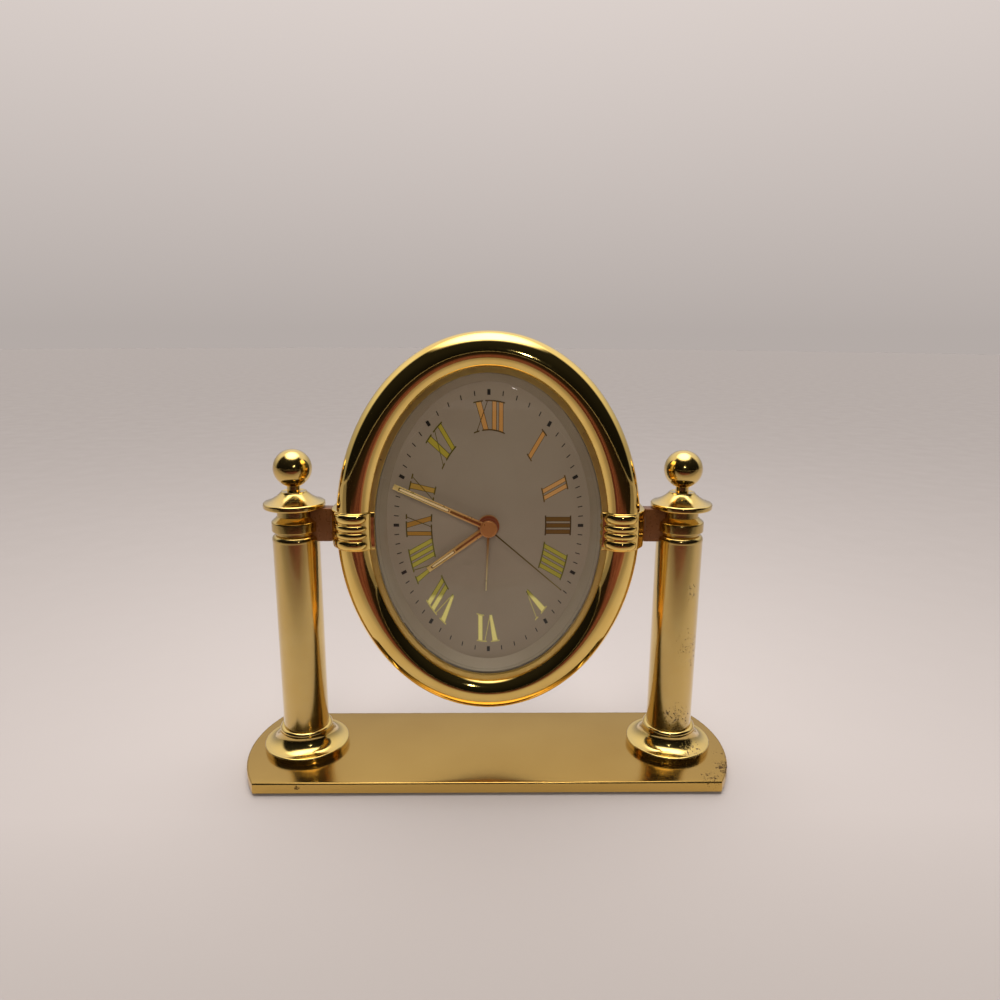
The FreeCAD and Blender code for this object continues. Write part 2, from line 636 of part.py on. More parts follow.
CENTRE = (0.0, 0.0)
MOTION_MODULE = 0.4
HOUR_MODULE = 0.32
FAST_MODULE = 0.22
THIRD_DISTANCE = 9.0
CENTRE_MODULE = 2 * THIRD_DISTANCE / (CENTRE_TEETH + PINION_TEETH)
THIRD_MODULE = 2 * THIRD_DISTANCE / (THIRD_TEETH + PINION_TEETH)
THIRD_TURN = math.radians(60)
INTERMEDIATE_TURN = math.radians(120)
ROTOR_TURN = math.radians(100)
MOTION = polar(CENTRE, MOTION_MODULE * (CANNON_TEETH + MOTION_TEETH) / 2, 0)
TIME_SET = polar(MOTION, MOTION_MODULE * (MOTION_TEETH + TIME_SET_TEETH) / 2, 0)
ALARM_SET = polar(CENTRE, MOTION_MODULE * (ALARM_TEETH + ALARM_SET_TEETH) / 2, math.pi)
THIRD = polar(CENTRE, THIRD_DISTANCE, THIRD_TURN)
INTERMEDIATE = polar(CENTRE, FAST_MODULE * (SECONDS_TEETH + PINION_TEETH) / 2, INTERMEDIATE_TURN)
ROTOR = polar(INTERMEDIATE, FAST_MODULE * (INTERMEDIATE_TEETH + ROTOR_TEETH) / 2, ROTOR_TURN)


def build_motion_work():
    cannon_phase = 0.0
    cannon = gear(CANNON_TEETH, MOTION_MODULE, CANNON_LAYER, CENTRE, cannon_phase)
    cannon = cannon.fuse(rod_y(CANNON_PIPE, (MINUTE_HAND[4], CENTRE_LAYER[1] + END_PLAY)))
    save("cannon_pinion", cannon.cut(rod_y(SECONDS_ARBOR + CLEARANCE, THROUGH)))

    wheel_phase = meshed_phase(CANNON_TEETH, cannon_phase, 0, MOTION_TEETH)
    wheel = gear(MOTION_TEETH, MOTION_MODULE, CANNON_LAYER, MOTION, wheel_phase)
    pinion = gear(MOTION_PINION_TEETH, HOUR_MODULE, (HOUR_LAYER[0], CANNON_LAYER[0]), MOTION, 0.0)
    save("motion_wheel", wheel.fuse(pinion).cut(rod_y(STUD_RADIUS + CLEARANCE, THROUGH, *MOTION)))

    hour_phase = meshed_phase(MOTION_PINION_TEETH, 0.0, math.pi, HOUR_TEETH)
    hour = gear(HOUR_TEETH, HOUR_MODULE, HOUR_LAYER, CENTRE, hour_phase)
    hour = hour.fuse(rod_y(HOUR_PIPE, (HOUR_HAND[4], HOUR_LAYER[1])))
    save("hour_wheel", hour.cut(rod_y(CANNON_PIPE + CLEARANCE, THROUGH)))

    pinion_phase = meshed_phase(MOTION_TEETH, wheel_phase, 0, TIME_SET_TEETH)
    pinion = gear(TIME_SET_TEETH, MOTION_MODULE, CANNON_LAYER, TIME_SET, pinion_phase)
    save("time_set_arbor", setting_arbor(pinion, CANNON_LAYER[0], TIME_SET))

    alarm = gear(ALARM_TEETH, MOTION_MODULE, ALARM_LAYER, CENTRE, 0.0)
    alarm = alarm.fuse(rod_y(ALARM_PIPE, (ALARM_HAND[4], ALARM_LAYER[1])))
    save("alarm_wheel", alarm.cut(rod_y(HOUR_PIPE + CLEARANCE, THROUGH)))
    wheel_phase = meshed_phase(ALARM_TEETH, 0.0, math.pi, ALARM_SET_TEETH)
    wheel = gear(ALARM_SET_TEETH, MOTION_MODULE, ALARM_LAYER, ALARM_SET, wheel_phase)
    save("alarm_set_arbor", setting_arbor(wheel, ALARM_LAYER[0], ALARM_SET))


def setting_arbor(wheel, shoulder_y, place):
    """Wheel on an arbor that reaches out of the back case, with a thin pivot in the front plate."""
    pivot = rod_y(SET_PIVOT, (DIAL_BACK_Y + END_PLAY, shoulder_y), *place)
    return joined([wheel, pivot, rod_y(SET_ARBOR, (shoulder_y, KNOB_FRONT_Y), *place)])


def build_going_train():
    centre_phase = 0.0
    centre = gear(CENTRE_TEETH, CENTRE_MODULE, CENTRE_LAYER, CENTRE, centre_phase)
    save("centre_wheel", centre.cut(rod_y(CANNON_PIPE + CLEARANCE, CENTRE_LAYER)))

    pinion_phase = meshed_phase(CENTRE_TEETH, centre_phase, THIRD_TURN, PINION_TEETH)
    pinion = gear(PINION_TEETH, CENTRE_MODULE, CENTRE_LAYER, THIRD, pinion_phase)
    wheel = gear(THIRD_TEETH, THIRD_MODULE, THIRD_LAYER, THIRD, 0.0)
    arbor = rod_y(PIVOT_ARBOR, (DIAL_BACK_Y + END_PLAY, MIDDLE_PLATE[1] - END_PLAY), *THIRD)
    save("third_wheel", joined([arbor, pinion, wheel]))

    pinion_phase = meshed_phase(THIRD_TEETH, 0.0, THIRD_TURN + math.pi, PINION_TEETH)
    seconds_phase = 0.0
    pinion = gear(PINION_TEETH, THIRD_MODULE, THIRD_LAYER, CENTRE, pinion_phase)
    wheel = gear(SECONDS_TEETH, FAST_MODULE, SECONDS_LAYER, CENTRE, seconds_phase)
    arbor = rod_y(SECONDS_ARBOR, (SECOND_HAND[4], REAR_PLATE[1] - END_PLAY))
    save("seconds_wheel", joined([arbor, pinion, wheel]))

    between_plates = (MIDDLE_PLATE[0] + END_PLAY, REAR_PLATE[1] - END_PLAY)
    pinion_phase = meshed_phase(SECONDS_TEETH, seconds_phase, INTERMEDIATE_TURN, PINION_TEETH)
    pinion = gear(PINION_TEETH, FAST_MODULE, SECONDS_LAYER, INTERMEDIATE, pinion_phase)
    wheel = gear(INTERMEDIATE_TEETH, FAST_MODULE, ROTOR_LAYER, INTERMEDIATE, 0.0)
    save("intermediate_wheel", joined([rod_y(PIVOT_ARBOR, between_plates, *INTERMEDIATE), pinion, wheel]))

    pinion_phase = meshed_phase(INTERMEDIATE_TEETH, 0.0, ROTOR_TURN, ROTOR_TEETH)
    pinion = gear(ROTOR_TEETH, FAST_MODULE, ROTOR_LAYER, ROTOR, pinion_phase)
    magnet = rod_y(MAGNET_RADIUS, MAGNET_Y, *ROTOR)
    save("rotor", joined([rod_y(PIVOT_ARBOR, between_plates, *ROTOR), pinion, magnet]))


def build_knobs():
    for name, place in (("time_set_knob", TIME_SET), ("alarm_set_knob", ALARM_SET)):
        corners = []
        for step in range(2 * KNOB_FLUTES):
            turn = step * math.pi / KNOB_FLUTES
            radius = KNOB_RADIUS - KNOB_FLUTE_DEPTH * (step % 2)
            x, z = place[0] + radius * math.cos(turn), place[1] + radius * math.sin(turn)
            corners.append(vec(x, KNOB_FRONT_Y, AXIS_Z + z))
        face = Part.Face(Part.makePolygon(corners + [corners[0]]))
        knob = face.extrude(vec(0, KNOB_BACK_Y - KNOB_FRONT_Y, 0))
        save(name, knob.cut(rod_y(KNOB_DISH_RADIUS, (KNOB_BACK_Y - KNOB_DISH_DEPTH, KNOB_BACK_Y), *place)))


# Hands

def blade(hand, start, end, half_start, half_end):
    """Flat bar along a hand's clock angle, from one distance to another off the centre."""
    turn = math.radians(hand[0])
    front, back = hand[4], hand[5]
    corners = []
    for along, across in ((start, half_start), (end, half_end), (end, -half_end), (start, -half_start)):
        x = along * math.sin(turn) + across * math.cos(turn)
        z = along * math.cos(turn) - across * math.sin(turn)
        corners.append(vec(x, front, AXIS_Z + z))
    return Part.Face(Part.makePolygon(corners + [corners[0]])).extrude(vec(0, back - front, 0))


def build_hands():
    hubs = (("alarm_hand", ALARM_HAND, ALARM_HUB, ALARM_PIPE, None),
            ("hour_hand", HOUR_HAND, HOUR_HUB, HOUR_PIPE, HOUR_SLOT),
            ("minute_hand", MINUTE_HAND, MINUTE_HUB, CANNON_PIPE, MINUTE_SLOT),
            ("second_hand", SECOND_HAND, SECOND_HUB, SECONDS_ARBOR, None))
    for name, hand, hub_radius, bore, slot in hubs:
        angle, length, half_hub, half_tip, front, back = hand
        shape = rod_y(hub_radius, (front, back)).fuse(blade(hand, 0, length, half_hub, half_tip))
        if name == "second_hand":
            shape = shape.fuse(rod_y(SECOND_CAP_RADIUS, (SECOND_CAP_FRONT, front)))
        shape = shape.cut(rod_y(bore, (front, back)))
        if slot:
            start, end, half = slot
            shape = shape.cut(blade(hand, start, end, half, half))
            inner = half - LUME_FIT
            save(name + "_lume", blade(hand, start + LUME_FIT, end - LUME_FIT, inner, inner))
        save(name, shape)


# Movement

def train_plate(span):
    plate = head_box((-PLATE_HALF_SPAN, PLATE_HALF_SPAN), span, (PLATE_LOW, PLATE_HIGH))
    for place in (TIME_SET, ALARM_SET):
        plate = plate.cut(rod_y(SET_ARBOR + CLEARANCE, span, *place))
    return plate


def build_movement():
    square = (-CASE_HALF, CASE_HALF)
    bush_span = (BUSH_FRONT_Y, RETAINER_BACK_Y)
    front = head_box(square, (DIAL_BACK_Y, RETAINER_BACK_Y), square).fuse(rod_y(BUSH_RADIUS, bush_span))
    front = front.cut(rod_y(ALARM_PIPE + CLEARANCE, bush_span))
    front = front.fuse(rod_y(STUD_RADIUS, (RETAINER_BACK_Y, STUD_END_Y), *MOTION))
    for place, radius in ((THIRD, PIVOT_ARBOR), (TIME_SET, SET_PIVOT), (ALARM_SET, SET_PIVOT)):
        front = front.cut(rod_y(radius + CLEARANCE, (DIAL_BACK_Y, RETAINER_BACK_Y), *place))
    save("movement_front_plate", front)
    nut_span = (BUSH_FRONT_Y, DIAL_FRONT_Y)
    save("centre_nut", rod_y(NUT_RADIUS, nut_span).cut(rod_y(BUSH_RADIUS, nut_span)))

    middle = train_plate(MIDDLE_PLATE)
    rear = train_plate(REAR_PLATE)
    for place, radius in ((THIRD, PIVOT_ARBOR), (CENTRE, SECONDS_ARBOR), (INTERMEDIATE, PIVOT_ARBOR),
                          (ROTOR, PIVOT_ARBOR)):
        middle = middle.cut(rod_y(radius + CLEARANCE, MIDDLE_PLATE, *place))
        rear = rear.cut(rod_y(radius + CLEARANCE, REAR_PLATE, *place))
    pillars = []
    for place in PILLARS:
        tenon = rod_y(PILLAR_TENON, MIDDLE_PLATE, *place)
        middle = middle.cut(tenon)
        pillars.append(joined([rod_y(PILLAR_RADIUS, (RETAINER_BACK_Y, MIDDLE_PLATE[0]), *place), tenon,
                               rod_y(PILLAR_RADIUS, (MIDDLE_PLATE[1], REAR_PLATE[0]), *place)]))
    save("middle_plate", middle)
    save("rear_plate", rear)
    save("plate_pillars", *pillars)

    inside = CASE_HALF - MOVEMENT_WALL
    case = head_box(square, (RETAINER_BACK_Y, MOVEMENT_BACK_Y), square)
    case = case.cut(head_box((-inside, inside), (RETAINER_BACK_Y, MOVEMENT_BACK_Y - MOVEMENT_WALL),
                             (TRAIN_ROOM_LOW, inside)))
    case = case.cut(head_box((-BAY_HALF_LENGTH, BAY_HALF_LENGTH), (RETAINER_BACK_Y, MOVEMENT_BACK_Y),
                             (BAY_LOW, BAY_HIGH)))
    for place in (TIME_SET, ALARM_SET):
        case = case.cut(rod_y(SET_ARBOR + CLEARANCE, (MOVEMENT_BACK_Y - MOVEMENT_WALL, MOVEMENT_BACK_Y), *place))
    save("movement_case", case)


def build_electrics():
    cell_y, cell_z = CELL_CENTRE
    cell_height = AXIS_Z + cell_z
    cap = rod_x(CELL_CAP_RADIUS, (CELL_X[1], CELL_CAP_END_X), cell_y, cell_height)
    save("battery_cell", rod_x(CELL_RADIUS, CELL_X, cell_y, cell_height).fuse(cap))
    contacts = []
    deep, tall = CONTACT_HALF
    tongues = ((CONTACT_STRIPS[0][1], CELL_X[0]), (CELL_CAP_END_X, CONTACT_STRIPS[1][0]))
    for across, tongue in zip(CONTACT_STRIPS, tongues):
        strip = head_box(across, (cell_y - deep, cell_y + deep), (cell_z - tall, cell_z + tall))
        contacts.append(strip.fuse(rod_x(CONTACT_TONGUE_RADIUS, tongue, cell_y, cell_height)))
    save("battery_contacts", *contacts)

    left, right = ROTOR[0] - STATOR_HALF, ROTOR[0] + STATOR_HALF
    stator = head_box((left, right), STATOR_Y, (ROTOR[1] - STATOR_BELOW_ROTOR, STATOR_TOP))
    window = (ROTOR[1] + STATOR_WINDOW_ABOVE_ROTOR, STATOR_TOP - STATOR_YOKE)
    stator = stator.cut(head_box((left + STATOR_LEG, right - STATOR_LEG), STATOR_Y, window))
    save("stator", stator.cut(rod_y(STATOR_BORE, STATOR_Y, *ROTOR)))
    ends = (left + STATOR_LEG + COIL_GAP, right - STATOR_LEG - COIL_GAP)
    coil = rod_x(COIL_RADIUS, ends, sum(STATOR_Y) / 2, AXIS_Z + STATOR_TOP - STATOR_YOKE / 2)
    save("coil", coil.cut(head_box(ends, STATOR_Y, (STATOR_TOP - STATOR_YOKE, STATOR_TOP))))

    low, high = QUARTZ_HEIGHTS
    save("circuit_board", head_box(*BOARD), rod_z(QUARTZ_RADIUS, (AXIS_Z + low, AXIS_Z + high), *QUARTZ_PLACE))
    save("buzzer_disc", rod_y(BUZZER_RADIUS, BUZZER_Y, *BUZZER))


def main():
    build_base()
    capital = build_columns()
    build_hangers(capital)
    build_bezel()
    build_glass_and_dial()
    build_back_case()
    build_motion_work()
    build_going_train()
    build_knobs()
    build_hands()
    build_movement()
    build_electrics()


main()
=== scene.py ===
import bmesh
import bpy
import json
import math
from mathutils import Matrix, Vector


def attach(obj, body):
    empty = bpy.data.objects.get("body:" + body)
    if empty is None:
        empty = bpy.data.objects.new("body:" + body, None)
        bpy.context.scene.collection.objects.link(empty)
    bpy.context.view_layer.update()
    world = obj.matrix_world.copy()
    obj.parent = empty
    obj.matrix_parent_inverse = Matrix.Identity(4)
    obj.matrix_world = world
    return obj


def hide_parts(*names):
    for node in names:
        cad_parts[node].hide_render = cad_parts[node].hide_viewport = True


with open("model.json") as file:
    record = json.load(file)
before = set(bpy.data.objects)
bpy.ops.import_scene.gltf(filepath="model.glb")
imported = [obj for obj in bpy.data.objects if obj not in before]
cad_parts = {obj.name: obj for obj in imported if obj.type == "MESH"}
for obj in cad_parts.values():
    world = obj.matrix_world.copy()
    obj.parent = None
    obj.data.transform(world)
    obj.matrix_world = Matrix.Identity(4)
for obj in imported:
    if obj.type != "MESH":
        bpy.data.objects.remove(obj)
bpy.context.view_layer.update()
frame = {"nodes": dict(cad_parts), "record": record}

# Swing-frame desk alarm clock. Lengths are millimetres until a mesh is made, and metres after that.
# X to the right, Y to the back, Z up, as in the frame. The head's own axis runs along Y at AXIS_Z.
MM = 0.001

# Stand
PAD_TOP = 0.8
PAD_INSET = 1.2
PLATE_TOP = 4.85
PLATE_CENTRE_Y = -1.4
PLATE_DEPTH = 47.6
PLATE_HALF_WIDTH = 85.9
PLATE_END_RADIUS = 44.1
COLUMN_X = 66.0
COLUMN_RADIUS = 7.94
COLUMN_BOTTOM = 13.6
COLUMN_TOP = 82.5
CAPITAL_TOP = 93.9
CAP_TOP = 99.4
BALL_HEIGHT = 107.24
BALL_RADIUS = 6.46
NECK_RADIUS = 2.2

# Head
AXIS_Z = 88.5
HALF_WIDTH = 50.4
HALF_HEIGHT = 64.3
PATH_INSET = 4.7
TUBE_RADIUS = 6.26
TUBE_Y = -7.94
LAND_Y = -11.4
TUBE_END = 49.0
TUBE_STEPS = 56
LIP_BACK_Y = -9.8
RING_FRONT_Y = -8.8
DIAL_Y = -4.2
DIAL_BACK_Y = -3.4
OPENING_INSET = 12.9
POCKET_INSET = 9.9
POCKET_END_Y = -10.6
GLASS_INSET = 10.1
WALL_OUTER_INSET = 1.6
WALL_INNER_INSET = 3.2
WALL_ROUND = 0.25
LIP_ROUND = 0.12
BEZEL_BACK_Y = 2.0

# Meshing: pieces round the oval, round a turned part, and in a rounded corner
SEGMENTS = 288
TURNED_SEGMENTS = 128
BALL_SEGMENTS = 96
HUB_SEGMENTS = 64
WASHER_SEGMENTS = 48
ROUND_STEPS = 5
ROUND_LIMIT = 0.49
SHARP_ANGLE = math.radians(34)
WELD = 1e-4
TINY = 1e-6


# Outlines: lists of (u, v) points

def evenly(first, last, steps):
    """Values from first to last, both included."""
    return [first + (last - first) * k / steps for k in range(steps + 1)]


def bend(start, middle, end, steps=10):
    """Points on the arc from start through middle to end, without its start."""
    (ax, ay), (bx, by), (cx, cy) = start, middle, end
    d = 2 * (ax * (by - cy) + bx * (cy - ay) + cx * (ay - by))
    aa, bb, cc = ax**2 + ay**2, bx**2 + by**2, cx**2 + cy**2
    ux = (aa * (by - cy) + bb * (cy - ay) + cc * (ay - by)) / d
    uy = (aa * (cx - bx) + bb * (ax - cx) + cc * (bx - ax)) / d
    radius = math.hypot(ax - ux, ay - uy)
    first = math.atan2(ay - uy, ax - ux)
    via = (math.atan2(by - uy, bx - ux) - first) % math.tau
    last = (math.atan2(cy - uy, cx - ux) - first) % math.tau
    sweep = last if via < last else last - math.tau
    return [(ux + u, uy + v) for u, v in arc_points(radius, first, first + sweep, steps)[1:]]


def path(*steps):
    """Outline from steps: a corner, a corner with a radius, or a pair with the middle and end of an arc."""
    corners = []
    for step in steps:
        if isinstance(step[0], tuple):
            corners += [(u, v, 0) for u, v in bend(corners[-1][:2], *step)]
        else:
            corners.append(tuple(step) + (0,) if len(step) == 2 else step)
    points = []
    count = len(corners)
    for index, (u, v, radius) in enumerate(corners):
        here = Vector((u, v))
        before = Vector(corners[index - 1][:2]) - here
        after = Vector(corners[(index + 1) % count][:2]) - here
        if not radius or before.length < TINY or after.length < TINY:
            points.append((u, v))
            continue
        half = before.angle(after) / 2
        reach = min(radius / math.tan(half), ROUND_LIMIT * before.length, ROUND_LIMIT * after.length)
        start, end = here + before.normalized() * reach, here + after.normalized() * reach
        for share in evenly(0.0, 1.0, ROUND_STEPS):
            points.append(tuple(start.lerp(here, share).lerp(here.lerp(end, share), share)))
    return points


def arc_points(radius, start, end, steps):
    """Points on an arc about the origin, both ends included."""
    return [(radius * math.cos(turn), radius * math.sin(turn)) for turn in evenly(start, end, steps)]


# Meshes

def in_scene(name, data):
    """New object of a mesh, light or camera, in the scene."""
    made = bpy.data.objects.new(name, data)
    bpy.context.scene.collection.objects.link(made)
    return made


def make_piece(name, solid, material, body, replaced=()):
    """Turn a bmesh in millimetres into a piece that rides on a body."""
    bmesh.ops.remove_doubles(solid, verts=solid.verts, dist=WELD)
    bmesh.ops.recalc_face_normals(solid, faces=solid.faces)
    bmesh.ops.scale(solid, vec=(MM, MM, MM), verts=solid.verts)
    mesh = bpy.data.meshes.new(name)
    solid.to_mesh(mesh)
    solid.free()
    mesh.polygons.foreach_set("use_smooth", [True] * len(mesh.polygons))
    mesh.set_sharp_from_angle(angle=SHARP_ANGLE)
    mesh.materials.append(material)
    piece = in_scene(name, mesh)
    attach(piece, body)
    if replaced:
        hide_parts(*replaced)


def add_rings(solid, rings, ends="joined"):
    """Skin a list of equal rings of points; the ends are joined to each other, capped or open."""
    rows = [[solid.verts.new(point) for point in ring] for ring in rings]
    count = len(rows)
    for index in range(count if ends == "joined" else count - 1):
        row, after = rows[index], rows[(index + 1) % count]
        for k in range(len(row)):
            corners = [row[k], row[(k + 1) % len(row)], after[(k + 1) % len(row)], after[k]]
            solid.faces.new(corners)
    if ends == "capped":
        solid.faces.new(rows[0])
        solid.faces.new(rows[-1][::-1])
    return rows


def add_turned(solid, outline, centre, along="z", segments=HUB_SEGMENTS):
    """Turn an outline of (radius, height) about an axis through centre; along y, height is depth."""
    cx, cy, cz = centre
    for index in range(segments):
        turn, after = math.tau * index / segments, math.tau * (index + 1) / segments
        for (r0, h0), (r1, h1) in zip(outline, outline[1:] + outline[:1]):
            if max(r0, r1) < TINY:
                continue
            corners = []
            for radius, up, angle in ((r0, h0, turn), (r1, h1, turn), (r1, h1, after), (r0, h0, after)):
                u, v = radius * math.cos(angle), radius * math.sin(angle)
                corners.append((cx + u, cy + v, cz + up) if along == "z" else (cx + u, cy + up, cz + v))
            if r0 < TINY:
                corners = corners[:3]
            elif r1 < TINY:
                corners = [corners[0], corners[1], corners[3]]
            solid.faces.new([solid.verts.new(corner) for corner in corners])


def add_box(solid, low, high, bevel):
    """Box between two corners, its edges rounded by bevel."""
    made = bmesh.ops.create_cube(solid, size=1.0)["verts"]
    size = Vector(high) - Vector(low)
    middle = (Vector(high) + Vector(low)) / 2
    for vert in made:
        vert.co = Vector((vert.co.x * size.x, vert.co.y * size.y, vert.co.z * size.z)) + middle
    edges = list({edge for vert in made for edge in vert.link_edges})
    bmesh.ops.bevel(solid, geom=edges, offset=bevel, segments=3, profile=0.5, affect="EDGES")


def add_prism(solid, corners, front, back):
    """Prism of a flat outline of (x, z) corners, from one depth to another."""
    near = [solid.verts.new((x, front, z)) for x, z in corners]
    far = [solid.verts.new((x, back, z)) for x, z in corners]
    solid.faces.new(near)
    solid.faces.new(far[::-1])
    for k in range(len(corners)):
        after = (k + 1) % len(corners)
        solid.faces.new([near[k], far[k], far[after], near[after]])


def swept_oval(outline):
    """Rings of an outline of (inset, y), square to the oval that lies PATH_INSET inside the head's edge."""
    half_width, half_height = HALF_WIDTH - PATH_INSET, HALF_HEIGHT - PATH_INSET
    rings = []
    for turn in evenly(0, math.tau, SEGMENTS)[:-1]:
        x, z = half_width * math.sin(turn), half_height * math.cos(turn)
        normal = Vector((x / half_width**2, 0, z / half_height**2)).normalized()
        rings.append([(x + normal.x * (PATH_INSET - inset), y, AXIS_Z + z + normal.z * (PATH_INSET - inset))
                      for inset, y in outline])
    return rings


def stacked_ovals(levels):
    """Rings through ovals, each given by inset and depth."""
    return [[((HALF_WIDTH - inset) * math.sin(turn), y, AXIS_Z + (HALF_HEIGHT - inset) * math.cos(turn))
             for turn in evenly(0, math.tau, SEGMENTS)[:-1]] for inset, y in levels]


# Materials

class Nodes:
    """A node tree with a few short ways to add to it."""

    def __init__(self, tree):
        self.tree = tree

    def feed(self, value, socket):
        """Link an output to a socket, or set the socket to a plain value."""
        if isinstance(value, bpy.types.NodeSocket):
            self.tree.links.new(value, socket)
        else:
            socket.default_value = value

    def node(self, kind, settings=(), **inputs):
        made = self.tree.nodes.new(kind)
        for name, value in settings:
            setattr(made, name, value)
        for name, value in inputs.items():
            self.feed(value, made.inputs[name.replace("_", " ")])
        return made

    def spread(self, value, low, high, out_low=0.0, out_high=1.0, smooth=False):
        """Map the values from low to high onto the span from out_low to out_high."""
        kind = "SMOOTHSTEP" if smooth else "LINEAR"
        made = self.node("ShaderNodeMapRange", [("interpolation_type", kind)], Value=value, From_Min=low,
                         From_Max=high, To_Min=out_low, To_Max=out_high)
        return made.outputs["Result"]

    def maths(self, operation, first, second=0.0):
        made = self.node("ShaderNodeMath", [("operation", operation)])
        for socket, value in zip(made.inputs, (first, second)):
            self.feed(value, socket)
        return made.outputs["Value"]

    def mix(self, share, first, second):
        """Colour between first and second; both may be an output or a plain colour."""
        made = self.node("ShaderNodeMix", [("data_type", "RGBA")], Factor=share)
        sockets = [socket for socket in made.inputs if socket.type == "RGBA"]
        for socket, value in zip(sockets, (first, second)):
            self.feed(value if isinstance(value, bpy.types.NodeSocket) else (*value, 1), socket)
        return next(socket for socket in made.outputs if socket.type == "RGBA")

    def split(self, vector):
        return self.node("ShaderNodeSeparateXYZ", Vector=vector).outputs

    def blend(self, share, first, second, last):
        """Mix two shaders by share and send the result to the tree's last node."""
        made = self.node("ShaderNodeMixShader", Fac=share)
        self.feed(first, made.inputs[1])
        self.feed(second, made.inputs[2])
        self.feed(made.outputs["Shader"], self.tree.nodes[last].inputs["Surface"])


# Span that most values of a noise texture fall in
NOISE_SPAN = (0.3, 0.7)
# Worn spots: share of their reach that is worn throughout, and the values between which a spot begins
PIT_CORE = 0.25
PIT_EDGE = (0.60, 0.66)
TARNISH = (0.10, 0.055, 0.02)


class Shader(Nodes):
    """A material with one surface shader, in the piece's own coordinates."""

    def __init__(self, name, colour, roughness, metallic=0.0):
        self.material = bpy.data.materials.new(name)
        self.material.use_nodes = True
        super().__init__(self.material.node_tree)
        self.surface = self.tree.nodes["Principled BSDF"]
        self.set("Base Color", (*colour, 1))
        self.set("Roughness", roughness)
        self.set("Metallic", metallic)
        self.place = self.node("ShaderNodeTexCoord").outputs["Object"]

    def set(self, name, value):
        self.feed(value, self.surface.inputs[name])

    def noise(self, scale, detail, place=None):
        """Cloudy values from 0 to 1; scale is in clouds a metre."""
        made = self.node("ShaderNodeTexNoise", Vector=place or self.place, Scale=scale, Detail=detail)
        return made.outputs["Fac"]

    def clouds(self, scale, detail, low=0.0, high=1.0, span=NOISE_SPAN):
        """Noise that runs from low to high."""
        return self.spread(self.noise(scale, detail), *span, low, high)

    def distance(self, point):
        made = self.node("ShaderNodeVectorMath", [("operation", "DISTANCE")])
        self.feed(self.place, made.inputs[0])
        self.feed(point, made.inputs[1])
        return made.outputs["Value"]

    def bump(self, height, distance, strength):
        """Add relief; distance is its height in metres."""
        target = self.surface.inputs["Normal"]
        made = self.node("ShaderNodeBump", Height=height, Distance=distance, Strength=strength)
        if target.is_linked:
            self.feed(target.links[0].from_socket, made.inputs["Normal"])
        self.feed(made.outputs["Normal"], target)

    def wear(self, colour, rough, pits, scales, dulling, relief=0.0):
        """Break the finish out in spots; pits are (x, y, z, reach, amount) in millimetres."""
        coarse, fine = scales
        for x, y, z, reach, amount in pits:
            away = self.distance((x * MM, y * MM, z * MM))
            share = self.spread(away, PIT_CORE * reach * MM, reach * MM, amount, 0.0, smooth=True)
            grain = self.maths("MULTIPLY", self.noise(coarse, 3), self.noise(fine, 2))
            spots = self.spread(self.maths("ADD", grain, share), *PIT_EDGE)
            colour = self.mix(spots, colour, TARNISH)
            rough = self.maths("ADD", rough, self.maths("MULTIPLY", spots, dulling))
            if relief:
                self.bump(self.maths("SUBTRACT", 1.0, spots), relief, 0.6)
        self.set("Base Color", colour)
        self.set("Roughness", rough)


BRASS_LIGHT = (0.87, 0.63, 0.20)
BRASS_DEEP = (0.83, 0.57, 0.16)
SATIN_LIGHT = (0.47, 0.30, 0.085)
SATIN_DEEP = (0.43, 0.265, 0.07)
BASE_SIDE_PAINTED_LIGHT = (0.66, 0.43, 0.115)
COAT_ROUGHNESS = 0.05
POLISH_PIT_GRAIN = (900, 2300)
SATIN_PIT_GRAIN = (800, 2100)


def polished_brass(name, pits=(), gloss=0.07, depth=1.0, lacquer=0.0):
    """Lacquered brass; gloss is its roughness, depth scales its colour down as painted shade, lacquer the
    weight of the clear coat.
    """
    light, deep = (tuple(depth * part for part in tone) for tone in (BRASS_LIGHT, BRASS_DEEP))
    shader = Shader(name, light, gloss, 1.0)
    shader.set("Coat Weight", lacquer)
    shader.set("Coat Roughness", COAT_ROUGHNESS)
    colour = shader.mix(shader.clouds(90, 3, span=(0.35, 0.7)), light, deep)
    vary = 0.03 if lacquer else 0.35 * gloss
    rough = shader.clouds(700, 5, gloss - vary, gloss + vary, (0.3, 0.75))
    shader.bump(shader.noise(160, 2), 0.00002, 0.25)
    shader.wear(colour, rough, pits, POLISH_PIT_GRAIN, 0.45, 0.00012)
    return shader.material


def satin_brass():
    """Brass of the base, with a soft sheen on its top; its sides are painted lighter, as painted light."""
    shader = Shader("satin_brass_base", BRASS_LIGHT, 0.2, 1.0)
    grain = shader.noise(1500, 4)
    colour = shader.mix(shader.clouds(35, 3, span=(0.3, 0.75)), SATIN_LIGHT, SATIN_DEEP)
    upwards = shader.split(shader.node("ShaderNodeNewGeometry").outputs["Normal"])["Z"]
    # Faces that do not face up get a lighter tone: painted light on the base's sides
    colour = shader.mix(shader.spread(upwards, 0.2, 0.9), BASE_SIDE_PAINTED_LIGHT, colour)
    shader.bump(grain, 0.000003, 0.3)
    shader.wear(colour, shader.spread(grain, *NOISE_SPAN, 0.15, 0.21), BASE_PITS, SATIN_PIT_GRAIN, 0.4)
    return shader.material


def bronzed_brass():
    shader = Shader("bronzed_brass", (0.30, 0.13, 0.045), 0.30, 0.4)
    shader.set("Base Color", shader.mix(shader.noise(220, 4), (0.20, 0.075, 0.020), (0.15, 0.052, 0.014)))
    shader.set("Roughness", shader.clouds(900, 4, 0.24, 0.38))
    return shader.material


# Heights between the rows of numerals, from the head's centre, from the top down; the painted reflections
# change tone there
PAINTED_REFLECTION_ROWS = ((22.5, 24.0), (4.6, 5.1), (-5.1, -4.6), (-26.0, -24.5))
